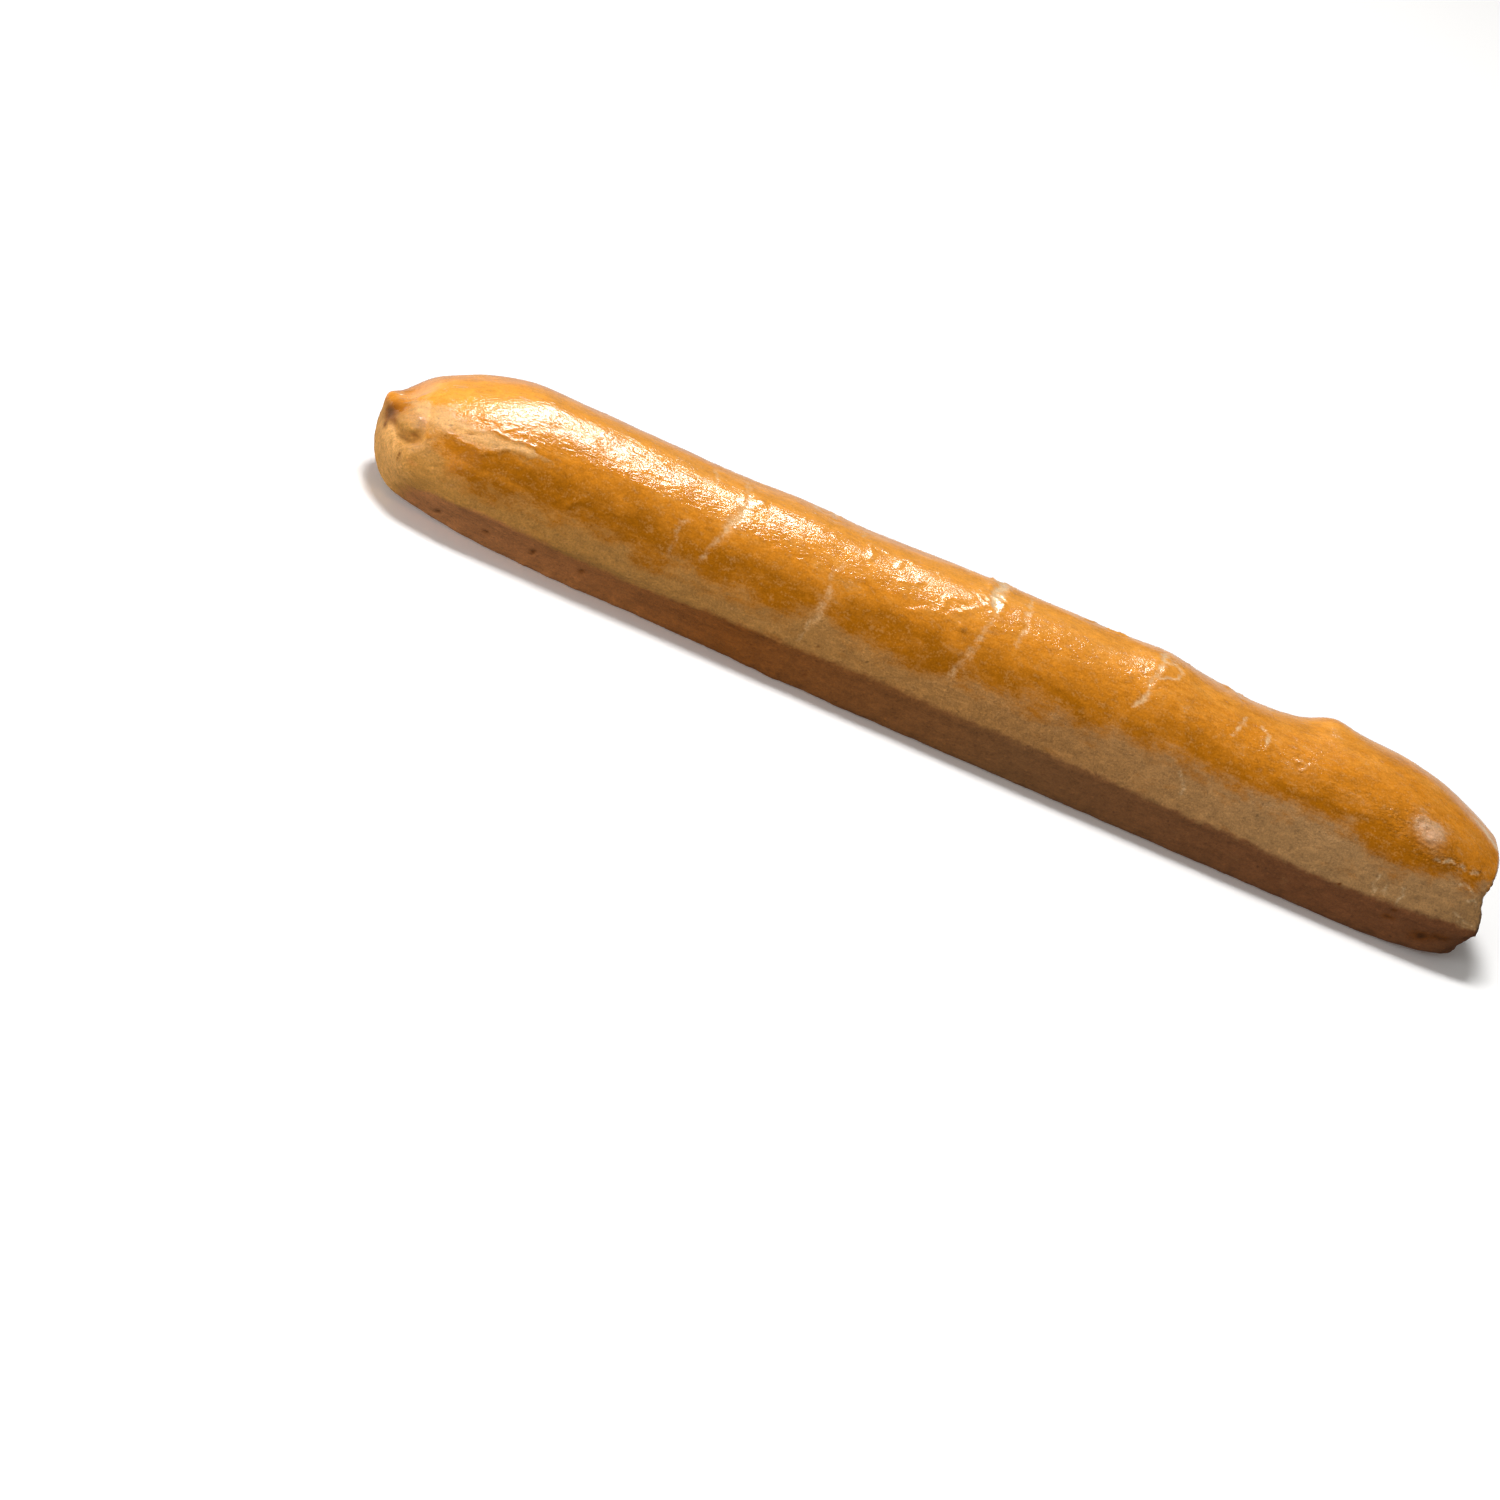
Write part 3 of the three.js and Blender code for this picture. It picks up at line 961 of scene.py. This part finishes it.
    def bead_row(self, along: np.ndarray, girth: np.ndarray) -> np.ndarray:
        """A row of small beads of glaze along the fold near the right end.

        Args:
            along: Places along the log, in millimetres.
            girth: How far round from the crown each place is, in millimetres.

        Returns:
            How far each place is moved outwards, in millimetres.
        """
        start, stop = self.marks.bead_row
        far, turn = self.bead_wobble
        moved = np.zeros_like(along)
        for i, (x, g) in enumerate(np.linspace(start, stop, self.marks.bead_row_count)):
            bead = Spot((x, g + far * math.sin(turn * i)), self.bead_size)
            moved += self.bead_height * bell(bead.away(along, girth))
        return moved

    def ledge(self, girth: np.ndarray) -> np.ndarray:
        """The pale side's lower edge, which stands a little proud of the foot.

        Args:
            girth: How far round from the crown each place is, in millimetres.

        Returns:
            How far each place is moved outwards, in millimetres.
        """
        over = self.crease_girth - girth
        round_top = bell(np.maximum(over, 0), self.crease_reach) * (girth > 0)
        return self.crease_ledge * smooth_step(over, -0.5, 0.5) * round_top

    def ragged_tip(self, along: np.ndarray, girth: np.ndarray) -> np.ndarray:
        """The torn ends of the layers, which show below the glaze at the right tip.

        Args:
            along: Places along the log, in millimetres.
            girth: How far round from the crown each place is, in millimetres.

        Returns:
            How far each place is moved outwards, in millimetres.
        """
        x, y, z = np.moveaxis(self.skin.points, -1, 0)
        torn = wander(x + 1.5 * z, 2 * y, self.ragged_size, 9)
        share = smooth_step(along, *self.ragged_start) * smooth_step(girth, *self.ragged_girth)
        return self.ragged_height * torn * share

    def paleness(self, along: np.ndarray, girth: np.ndarray) -> np.ndarray:
        """Where fresh layers show in the cracks, and the painted highlight on the crests of ripples.

        Args:
            along: Places along the log, in millimetres.
            girth: How far round from the crown each place is, in millimetres.

        Returns:
            The share of pale layers and painted highlight at each place.
        """
        pale_and_sheen = np.zeros_like(along)
        for crack in self.marks.cracks:
            away, width = path_reading(along, girth, crack.path)
            pale_and_sheen = np.maximum(pale_and_sheen, crack.paleness * bell(away / width, self.pale_reach))
        for ripple in self.marks.rings:
            crest = smooth_step(ripple.risen(along, girth) / ripple.height, *self.crest_start)
            pale_and_sheen = np.maximum(pale_and_sheen, self.crest_highlight * crest)
        return pale_and_sheen * self.paleness_breaks.at(along, girth)

    def burns_and_shade(self, along: np.ndarray, girth: np.ndarray, which: Side) -> np.ndarray:
        """How burnt one side is at its spots and on the ear, with painted shade in its slit, in the
        gaps under the torn glaze and in the left end's groove and pit.

        Args:
            along: Places along the log, in millimetres.
            girth: How far round from the crown each place is, in millimetres.
            which: The side.

        Returns:
            The char and painted shade at each place, up to about 1.
        """
        burnt_and_shaded = self.marks.painted_slit_shade.laid(along, girth)
        for spot in self.marks.spots:
            burnt_and_shaded = np.maximum(burnt_and_shaded, spot.char * bell(spot.away(along, girth)))
        if which is Side.FRONT:
            # the burnt ear, and painted shade in the groove and pit of the left end
            for scorch_and_shade in self.marks.scorches_and_shade:
                burnt_and_shaded = burnt_and_shaded + scorch_and_shade.strength * scorch_and_shade.share(self.skin.points)
        return burnt_and_shaded

    def look(self, which: Side) -> dict[str, np.ndarray]:
        """What one side's marks give to each of the material's layers.

        Args:
            which: The side.

        Returns:
            The values of each layer by its name.
        """
        marks = self.marks
        along, girth = self.side(which)
        edge, soft = (along_stops(along, s) for s in (self.glaze_edge, self.glaze_softness))
        bare = np.clip(laid_strokes(marks.bare, along, girth), 0, 1)
        cover = np.clip(0.5 + (edge - girth) / (2 * soft), 0, 1)
        blister = marks.blister.away(along, girth)
        bareness, bare_reach = self.blister_bare
        flush, flush_reach = self.blister_flush
        baked = along_stops(girth, self.bake_round) + along_stops(along, self.bake_along)
        baked = baked + self.bake_stroke * laid_strokes(marks.strokes, along, girth)
        pale_and_sheen = self.paleness(along, girth)
        if which is Side.FRONT:
            # the right tip's painted sheen
            pale_and_sheen = pale_and_sheen + marks.painted_sheen.laid(along, girth)
        foot = girth - self.stray(along, girth, 1) - along_stops(along, self.foot_edge)
        foot = smooth_step(foot, -self.foot_sharpness, self.foot_sharpness)
        crinkle = laid_strokes(marks.crinkles, along, girth)
        return {
            "glaze": np.clip(cover - bare, 0, 1) * (1 - bareness * bell(blister, bare_reach)),
            "bake": np.clip(baked, 0, 1),
            "bare": bare,
            "crinkle": np.clip(crinkle, 0, self.most_crinkle),
            "crack": pale_and_sheen,
            "foot": foot * smooth_step(along, *self.foot_fade),
            "char": self.burns_and_shade(along, girth, which),
            "blister": flush * bell(blister, flush_reach),
        }

    def colours(self) -> dict[str, np.ndarray]:
        """What the material reads at each point of the skin.

        Returns:
            The values of each layer by its name.
        """
        front, back = (self.look(which) for which in Side)
        share = self.share(Side.FRONT)
        return {name: share * front[name] + (1 - share) * back[name] for name in LAYERS}


# ---------------------------------------------------------------- finishes


@dataclass(frozen=True)
class Pattern:
    """Noise of a real size, drawn out along the log where its stretch is under 1."""

    size_mm: float
    detail: float = 2.0
    stretch: float = 1.0
    roughness: float = 0.6

    def build(
        self, tree: bpy.types.NodeTree, place: bpy.types.NodeSocket, **inputs
    ) -> bpy.types.NodeSocket:
        """Builds the pattern.

        Args:
            tree: The tree that gets the nodes.
            place: Where the pattern is read, in metres.
            **inputs: The noise's own scale and seed, where the tree gives them.

        Returns:
            The socket of its values, which run from about -1 to 1.
        """
        drawn_out = {0: place, 1: (self.stretch, 1, 1)}
        vector = add_node(tree, "ShaderNodeVectorMath", drawn_out, operation="MULTIPLY").outputs[0]
        given = {"Vector": vector, "Scale": 1 / (self.size_mm * MM)}
        given |= {"Detail": self.detail, "Roughness": self.roughness, **inputs}
        kind = "4D" if "W" in inputs else "3D"
        made = add_node(tree, "ShaderNodeTexNoise", given, noise_dimensions=kind)
        return weighted(tree, {made.outputs[0]: 5.0}, -2.5)


@dataclass(frozen=True)
class CrustFinish:
    """Puff pastry crust, brushed with egg wash and baked.

    The wash bakes to a golden skin with a sharp gloss that its wrinkles break up. Where no
    wash was brushed the dough bakes pale and matt, and the foot browns on the tray.
    """

    name: str = "egg_washed_crust"
    golden: str = "#ec9f3e"  # thin egg wash on the crown
    honey: str = "#d0811f"  # the usual coat
    amber: str = "#aa6508"  # where the wash ran together
    thin_wash: str = "#cf9347"  # small pale flecks where it hardly took
    dough: tuple[str, ...] = ("#c48a40", "#be8745", "#b68147", "#bd8e59")  # left to right
    bare_dough: str = "#dfa45c"  # never brushed
    crack: str = "#e9c696"  # fresh layers that show in a crack; also painted highlight on ripple crests, the right tip's facet and two dashes
    blister: str = "#e8b287"
    foot: tuple[str, ...] = ("#c4804c", "#98581f", "#8d5f36", "#8a5631")  # left to right
    # toast and char colour real burns, and also the painted shade in the left end's groove and pit,
    # its slit and the gaps under the torn glaze
    toast_and_shade: str = "#7d4510"
    char: str = "#3a2110"
    gloss: float = 0.18  # roughness of the wash
    matt: float = 0.6
    clouds: Pattern = Pattern(5.5, 6.0, 0.55, 0.68)
    mottle: Pattern = Pattern(4.0, 8.0, 0.7, 0.85)
    flecks: Pattern = Pattern(1.5, 4.0, 0.7)
    streaks: Pattern = Pattern(2.2, 4.0, 0.3)
    grain: Pattern = Pattern(0.5)
    fibres: Pattern = Pattern(1.2, 4.0, 0.35, 0.75)
    creases: Pattern = Pattern(1.8, 3.0, 0.42)
    speck_gap_mm: float = 1.6
    bubble_gap_mm: float = 2.4
    bubble_height_mm: float = 0.09
    left_end: float = -0.13  # metres, where the left colours are pure
    right_end: float = 0.1

    def build(self) -> bpy.types.Material:
        """Builds the crust's material.

        Returns:
            The material.
        """
        material = bpy.data.materials.new(self.name)
        material.use_nodes = True
        tree = material.node_tree
        tree.nodes.clear()
        add, total = partial(add_node, tree), partial(weighted, tree)
        place = add("ShaderNodeTexCoord").outputs["Object"]
        x_axis = add("ShaderNodeSeparateXYZ", {0: place}).outputs["X"]
        run = add("ShaderNodeMapRange", {0: x_axis, 1: self.left_end, 2: self.right_end}).outputs[0]
        read = {n: add("ShaderNodeAttribute", attribute_name=n).outputs["Fac"] for n in LAYERS}
        clouds, mottle, flecks, streaks, grain, fibres, creases = (
            pattern.build(tree, place)
            for pattern in (
                self.clouds, self.mottle, self.flecks, self.streaks, self.grain, self.fibres,
                self.creases,
            )
        )

        # where each coat lies
        glaze = {read["glaze"]: 1, clouds: 0.42, flecks: 0.16, streaks: 0.15}
        glaze = self.edged(tree, glaze, 0.42)
        bare = self.edged(tree, {read["bare"]: 1, flecks: 0.22, clouds: 0.1}, 0.3)
        thin = total({self.edged(tree, {flecks: 1, grain: 0.6}, 0.6): 0.25})
        # fresh layers in the cracks, with painted highlight on ripple crests, the right tip's facet
        # and two dashes
        pale_and_sheen = self.edged(tree, {read["crack"]: 1, grain: 0.1, flecks: 0.14}, 0.5)
        foot = self.edged(tree, {read["foot"]: 1, streaks: 0.18, flecks: 0.16}, 0.42)
        baked = total({read["bake"]: 1, clouds: 0.22, streaks: 0.12, flecks: 0.16})
        # char, with painted shade in the left end's groove and pit, its slit and the gaps under the
        # torn glaze
        burnt_and_shaded = total({read["char"]: 1, grain: 0.05, flecks: 0.07})
        toasted_and_shaded = add("ShaderNodeMapRange", {0: burnt_and_shaded, 1: 0.06, 2: 0.55, 4: 0.85}).outputs[0]
        charred_and_shaded = add("ShaderNodeMapRange", {0: burnt_and_shaded, 1: 0.55, 2: 1.1}).outputs[0]
        wet = total({glaze: total({foot: -1}, 1.0)})

        # the coats, one over the other
        washed = self.graded(tree, baked, (self.golden, self.honey, self.amber))
        washed = self.coated(tree, washed, {thin: self.thin_wash})
        dough = self.coated(tree, self.graded(tree, run, self.dough), {bare: self.bare_dough})
        coats = {glaze: washed, pale_and_sheen: self.crack, read["blister"]: self.blister}
        coats |= {foot: self.graded(tree, run, self.foot), toasted_and_shaded: self.toast_and_shade, charred_and_shaded: self.char}
        colour = self.coated(tree, dough, coats)

        # fibres and specks shade what the wash leaves bare
        specks = add("ShaderNodeTexVoronoi", {"Vector": place, "Scale": 1 / (self.speck_gap_mm * MM)})
        speck = add("ShaderNodeMapRange", {0: specks.outputs["Distance"], 1: 0.12, 2: 0.3, 3: 1, 4: 0})
        tone = add("ShaderNodeSeparateColor", {0: specks.outputs["Color"]}).outputs[0]
        speck = total({speck.outputs[0]: total({tone: 0.6}, -0.3)})
        rough = total({total({wet: -1}, 1.0): total({fibres: 0.17, grain: 0.05, speck: 1})})
        shade = total({rough: 1, mottle: 0.2, streaks: 0.05, grain: 0.12}, 1.0)
        colour = add("ShaderNodeHueSaturation", {"Color": colour, "Value": shade}).outputs[0]

        # creases and small bubbles in the film of wash, and lumps in the dough
        crease = add("ShaderNodeMath", {0: creases}, operation="ABSOLUTE").outputs[0]
        crease = total({crease: total({read["crinkle"]: 0.125}, 0.028)})
        bubbles = {"Vector": place, "Scale": 1 / (self.bubble_gap_mm * MM)}
        bubbles = add("ShaderNodeTexVoronoi", bubbles).outputs["Distance"]
        bubbles = {0: bubbles, 1: 0.03, 2: 0.22, 3: self.bubble_height_mm, 4: 0}
        bubbles = add("ShaderNodeMapRange", bubbles).outputs[0]
        crinkled = add("ShaderNodeMapRange", {0: read["crinkle"], 3: 0.2}).outputs[0]
        film = total({crease: 1, total({bubbles: crinkled}): 1, grain: 0.01})
        film = total({total({wet: -1}, 1.0): total({mottle: 0.12, grain: 0.03}), wet: film})
        bump = add("ShaderNodeBump", {"Height": film, "Strength": 1.0, "Distance": MM}).outputs[0]
        gloss = total({wet: self.gloss - self.matt, flecks: 0.04}, self.matt)
        surface = {"Base Color": colour, "Roughness": gloss, "Normal": bump}
        shader = add("ShaderNodeBsdfPrincipled", surface)
        add("ShaderNodeOutputMaterial", {"Surface": shader.outputs[0]})
        return material

    def edged(self, tree: bpy.types.NodeTree, terms: dict, softness: float) -> bpy.types.NodeSocket:
        """Turns a weighted sum into a mask with a ragged edge where the sum is one half.

        Args:
            tree: The tree that gets the nodes.
            terms: The sum's sockets and their weights.
            softness: How far either side of one half the edge runs.

        Returns:
            The socket of the result.
        """
        inputs = {0: weighted(tree, terms), 1: 0.5 - softness, 2: 0.5 + softness}
        node = add_node(tree, "ShaderNodeMapRange", inputs, interpolation_type="SMOOTHSTEP")
        return node.outputs[0]

    def coated(
        self, tree: bpy.types.NodeTree, colour: bpy.types.NodeSocket | tuple, coats: dict
    ) -> bpy.types.NodeSocket:
        """Lays coats of colour over a colour, each where its mask is.

        Args:
            tree: The tree that gets the nodes.
            colour: The colour below.
            coats: The coats' colours by their masks, the lowest first.

        Returns:
            The socket of the result.
        """
        for mask, coat in coats.items():
            coat = linear(coat) if isinstance(coat, str) else coat
            inputs = {0: mask, 6: colour, 7: coat}
            colour = add_node(tree, "ShaderNodeMix", inputs, data_type="RGBA").outputs[2]
        return colour

    def graded(
        self, tree: bpy.types.NodeTree, run: bpy.types.NodeSocket, codes: tuple[str, ...]
    ) -> bpy.types.NodeSocket:
        """Runs evenly through some colours as a socket goes from 0 to 1.

        Args:
            tree: The tree that gets the nodes.
            run: The socket.
            codes: The colours as sRGB hex codes.

        Returns:
            The socket of the result.
        """
        steps, colour = len(codes) - 1, linear(codes[0])
        for i, code in enumerate(codes[1:]):
            share = add_node(tree, "ShaderNodeMapRange", {0: run, 1: i / steps, 2: (i + 1) / steps})
            colour = self.coated(tree, colour, {share.outputs[0]: code})
        return colour


# ---------------------------------------------------------------- relief that follows the skin


@dataclass(frozen=True)
class ReliefLayer:
    """One layer of relief, by its height and the spacing of its humps."""

    height_mm: float
    pattern: Pattern


@dataclass
class SkinRelief:
    """Geometry Nodes that swell the skin, wrinkle the glaze and mottle the dough."""

    name: str = "crust_relief"
    swell: ReliefLayer = ReliefLayer(0.22, Pattern(13.0, 1.0, 0.7, 0.5))
    wrinkle: ReliefLayer = ReliefLayer(0.08, Pattern(3.0, 3.0, 0.75, 0.5))
    dough: ReliefLayer = ReliefLayer(0.09, Pattern(2.2, 3.0, 0.5, 0.5))
    seed: float = 3.0

    def layers(self) -> dict[str, ReliefLayer]:
        """The layers of relief by name."""
        return {"Swell": self.swell, "Wrinkle": self.wrinkle, "Dough": self.dough}

    def inputs(self) -> dict[str, float]:
        """The tree's number inputs by name.

        Returns:
            Their values by name.
        """
        sizes = {"Seed": self.seed}
        for name, layer in self.layers().items():
            sizes |= {f"{name} height": layer.height_mm, f"{name} spacing": layer.pattern.size_mm}
        return sizes

    def tree(self) -> bpy.types.GeometryNodeTree:
        """Builds the node tree, with an input for each size.

        Returns:
            The node tree.
        """
        tree = bpy.data.node_groups.new(self.name, "GeometryNodeTree")
        face = tree.interface
        face.new_socket("Geometry", in_out="INPUT", socket_type="NodeSocketGeometry")
        for label, value in self.inputs().items():
            socket = face.new_socket(label, in_out="INPUT", socket_type="NodeSocketFloat")
            socket.default_value = value
        face.new_socket("Finish", in_out="INPUT", socket_type="NodeSocketMaterial")
        face.new_socket("Geometry", in_out="OUTPUT", socket_type="NodeSocketGeometry")
        add, total = partial(add_node, tree), partial(weighted, tree)
        given = add("NodeGroupInput").outputs
        place = add("GeometryNodeInputPosition").outputs[0]
        glaze, crinkle, foot, free = (
            add("GeometryNodeInputNamedAttribute", {"Name": name}).outputs[0]
            for name in ("glaze", "crinkle", "foot", "free")
        )
        masks = {
            "Swell": 1.0,
            "Wrinkle": total({glaze: total({crinkle: 1}, 0.35)}),
            "Dough": total({total({glaze: -1}, 1.0): total({foot: -0.5}, 1.0)}),
        }
        raised = 0.0
        for name, layer in self.layers().items():
            scale = {0: 1 / MM, 1: given[f"{name} spacing"]}
            scale = add("ShaderNodeMath", scale, operation="DIVIDE").outputs[0]
            humps = layer.pattern.build(tree, place, Scale=scale, W=given["Seed"])
            raised = total({total({humps: given[f"{name} height"]}): masks[name]}, raised)
        offset = {0: add("GeometryNodeInputNormal").outputs[0]}
        offset["Scale"] = total({total({raised: free}): MM})
        offset = add("ShaderNodeVectorMath", offset, operation="SCALE").outputs[0]
        moved = {"Geometry": given["Geometry"], "Offset": offset}
        real = {0: add("GeometryNodeSetPosition", moved).outputs[0]}
        dressed = {"Geometry": add("GeometryNodeRealizeInstances", real).outputs[0]}
        dressed = add("GeometryNodeSetMaterial", dressed | {"Material": given["Finish"]}).outputs[0]
        add("NodeGroupOutput", {"Geometry": dressed})
        return tree


def applied(piece: bpy.types.Object, tree: bpy.types.GeometryNodeTree, inputs: dict) -> None:
    """Runs a node tree on a piece and keeps the result as its plain mesh.

    Args:
        piece: The piece, whose mesh is replaced.
        tree: The node tree.
        inputs: The tree's inputs by name.
    """
    modifier = piece.modifiers.new(tree.name, "NODES")
    modifier.node_group = tree
    for socket in tree.interface.items_tree:
        if socket.in_out == "INPUT" and socket.name in inputs:
            modifier[socket.identifier] = inputs[socket.name]
    graph = bpy.context.evaluated_depsgraph_get()
    seen = piece.evaluated_get(graph)
    mesh = bpy.data.meshes.new_from_object(seen, preserve_all_data_layers=True, depsgraph=graph)
    piece.modifiers.remove(modifier)
    old = piece.data
    piece.data = mesh
    mesh.name = piece.name
    bpy.data.meshes.remove(old)


# ---------------------------------------------------------------- the log itself


@dataclass
class PastryLog:
    """The whole log: its form, its crust's relief and its finish."""

    form: LogForm = field(default_factory=LogForm)
    relief: SkinRelief = field(default_factory=SkinRelief)
    finish: CrustFinish = field(default_factory=CrustFinish)
    free_height: float = 3.0  # relief sets in above the flat base over this height
    pole_calm: float = 0.35  # and over this distance from the tips

    def mesh(self, skin: Skin, marks: CrustSkin) -> bpy.types.Mesh:
        """Builds the closed mesh and stores what the material reads.

        Args:
            skin: The log's skin.
            marks: The crust's relief and colours on it.

        Returns:
            The mesh, in metres.
        """
        free = smooth_step(skin.points[..., 2], 0.2, self.free_height)
        free = free * smooth_step(self.form.length / 2 - np.abs(skin.along), 0, self.pole_calm)
        points = skin.points + outward(skin.points) * (marks.relief() * free)[..., None]
        points[..., 1] += marks.foot_waves()
        points[..., 2] = np.maximum(points[..., 2], 0)
        rows, columns = skin.along.shape
        inner = slice(1, rows - 1)
        body = points[inner].reshape(-1, 3)
        tips = points[[0, -1], 0]
        count = (rows - 2) * columns
        rings = np.arange(count).reshape(rows - 2, columns)
        turned = np.roll(rings, -1, axis=1)
        quads = np.stack([rings[:-1], turned[:-1], turned[1:], rings[1:]], axis=-1).reshape(-1, 4)
        faces = quads.tolist()
        faces += [(count, b, a) for a, b in zip(rings[0].tolist(), turned[0].tolist())]
        faces += [(count + 1, a, b) for a, b in zip(rings[-1].tolist(), turned[-1].tolist())]
        mesh = bpy.data.meshes.new(NODE + "_crust")
        mesh.from_pydata((np.vstack([body, tips]) * MM).tolist(), [], faces)
        for name, value in (marks.colours() | {"free": free}).items():
            kept = np.concatenate([value[inner].ravel(), value[[0, -1], 0]])
            layer = mesh.attributes.new(name, "FLOAT", "POINT")
            layer.data.foreach_set("value", kept.astype(np.float32))
        mesh.polygons.foreach_set("use_smooth", [True] * len(mesh.polygons))
        mesh.update()
        return mesh

    def build(self) -> bpy.types.Object:
        """Builds the log where its solid stands, dresses it and hands it to the frame.

        Returns:
            The piece.
        """
        skin = self.form.skin(*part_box(NODE))
        piece = bpy.data.objects.new("crust", self.mesh(skin, CrustSkin(skin)))
        bpy.context.scene.collection.objects.link(piece)
        material = self.finish.build()
        applied(piece, self.relief.tree(), self.relief.inputs() | {"Finish": material})
        piece.data.polygons.foreach_set("use_smooth", [True] * len(piece.data.polygons))
        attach(piece, BODY)
        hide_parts(NODE)
        LOG.info("crust: %d faces", len(piece.data.polygons))
        return piece


# ---------------------------------------------------------------- stage, light and camera


@dataclass(frozen=True)
class Softbox:
    """A rectangular softbox that faces a point, in metres."""

    name: str
    at: Triple
    size: Pair
    power: float  # watts
    aim: Triple = (0.0, 0.0, 0.02)
    shines: bool = True  # lights the crust
    mirrored: bool = True  # shows in the crust's gloss

    def build(self) -> None:
        """Hangs the softbox."""
        light = bpy.data.lights.new(self.name, "AREA")
        light.shape = "RECTANGLE"
        light.size, light.size_y = self.size
        light.energy = self.power
        box = bpy.data.objects.new(self.name, light)
        bpy.context.scene.collection.objects.link(box)
        box.location = self.at
        box.rotation_euler = (Vector(self.aim) - Vector(self.at)).to_track_quat("-Z", "Y").to_euler()
        box.visible_diffuse = self.shines
        box.visible_glossy = self.mirrored


@dataclass
class Studio:
    """A white table under an overhead softbox, with a weak fill from the front left."""

    floor_size: float = 8.0
    glow: float = 0.3  # the far table's own light, which keeps it white
    glow_from: float = 0.1
    glow_to: float = 0.6
    world_strength: float = 0.22
    softboxes: tuple[Softbox, ...] = (
        Softbox("overhead", (-0.3, 0.19, 1.35), (0.5, 0.35), 16.2, mirrored=False),
        Softbox("fill", (-0.7, -1.1, 0.35), (0.8, 0.5), 9.5, mirrored=False),
        Softbox("left fill", (-1.0, 0.0, 0.07), (0.5, 0.12), 4.5, mirrored=False),
        Softbox("strip", (-0.15, 0.262, 0.62), (0.47, 0.19), 9.6, shines=False),
        Softbox("back card", (0.1, 1.2, -0.1), (3.0, 0.8), 4.5, shines=False),
    )

    def floor(self) -> None:
        """The white table top. It doesn't light the log, and the gloss doesn't mirror it."""
        half = self.floor_size / 2
        corners = [(-half, -half, 0), (half, -half, 0), (half, half, 0), (-half, half, 0)]
        mesh = bpy.data.meshes.new("table")
        mesh.from_pydata(corners, [], [(0, 1, 2, 3)])
        table = bpy.data.objects.new("table", mesh)
        bpy.context.scene.collection.objects.link(table)
        material = bpy.data.materials.new("white_table")
        material.use_nodes = True
        tree, white = material.node_tree, linear("#ffffff")
        tree.nodes.clear()
        place = add_node(tree, "ShaderNodeTexCoord").outputs["Object"]
        away = add_node(tree, "ShaderNodeVectorMath", {0: place}, operation="LENGTH").outputs["Value"]
        glow = {0: away, 1: self.glow_from, 2: self.glow_to, 4: self.glow}
        paint = {"Base Color": white, "Roughness": 0.9, "Specular IOR Level": 0.0}
        paint["Emission Color"] = white
        paint["Emission Strength"] = add_node(tree, "ShaderNodeMapRange", glow).outputs[0]
        shader = add_node(tree, "ShaderNodeBsdfPrincipled", paint)
        add_node(tree, "ShaderNodeOutputMaterial", {"Surface": shader.outputs[0]})
        mesh.materials.append(material)
        table.visible_diffuse = False
        table.visible_glossy = False

    def build(self) -> None:
        """Sets the table, the lights and the even light all round."""
        self.floor()
        for softbox in self.softboxes:
            softbox.build()
        world = bpy.data.worlds.new("studio")
        world.use_nodes = True
        shine = world.node_tree.nodes["Background"].inputs
        shine["Color"].default_value = linear("#fffaf2")
        shine["Strength"].default_value = self.world_strength
        world.cycles_visibility.glossy = False
        bpy.context.scene.world = world
        bpy.context.scene.view_settings.view_transform = "Standard"


@dataclass
class PhotoCamera:
    """The camera, turned so that the log slopes down to the right as in the picture."""

    azimuth: float = -12.0
    elevation: float = 20.0
    roll: float = 27.4
    distance: float = 2.0  # metres
    pixels_per_mm: float = 4.10
    aim: Triple = (0.0004, -0.00027, 0.016)  # the point of the log that is aimed at
    aim_pixel: Pair = (942.0, 655.6)  # where that point falls in the picture
    sensor: float = 36.0

    def build(self) -> bpy.types.Object:
        """Sets up the camera and makes it the scene's own.

        Returns:
            The camera.
        """
        around, up_angle, roll = (math.radians(a) for a in (self.azimuth, self.elevation, self.roll))
        flat = math.cos(up_angle)
        back = Vector((math.sin(around) * flat, -math.cos(around) * flat, math.sin(up_angle)))
        level = (-back).cross(Vector((0, 0, 1))).normalized()
        upright = level.cross(-back)
        right = level * math.cos(roll) + upright * math.sin(roll)
        up = upright * math.cos(roll) - level * math.sin(roll)
        focal = self.pixels_per_mm * self.distance / MM
        side = (self.aim_pixel[0] - PICTURE / 2) / focal
        rise = (PICTURE / 2 - self.aim_pixel[1]) / focal
        place = Vector(self.aim) - (-back + right * side + up * rise) * self.distance
        data = bpy.data.cameras.new("camera")
        data.sensor_width = self.sensor
        data.lens = focal * self.sensor / PICTURE
        camera = bpy.data.objects.new("camera", data)
        bpy.context.scene.collection.objects.link(camera)
        turn = Matrix((right, up, back)).transposed()
        camera.matrix_world = Matrix.Translation(place) @ turn.to_4x4()
        bpy.context.scene.camera = camera
        return camera


def main() -> None:
    """Loads the frame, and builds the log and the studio."""
    logging.basicConfig(level=logging.INFO, format="%(name)s: %(message)s")
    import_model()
    PhotoCamera().build()
    Studio().build()
    PastryLog().build()


if __name__ == "__main__":
    main()
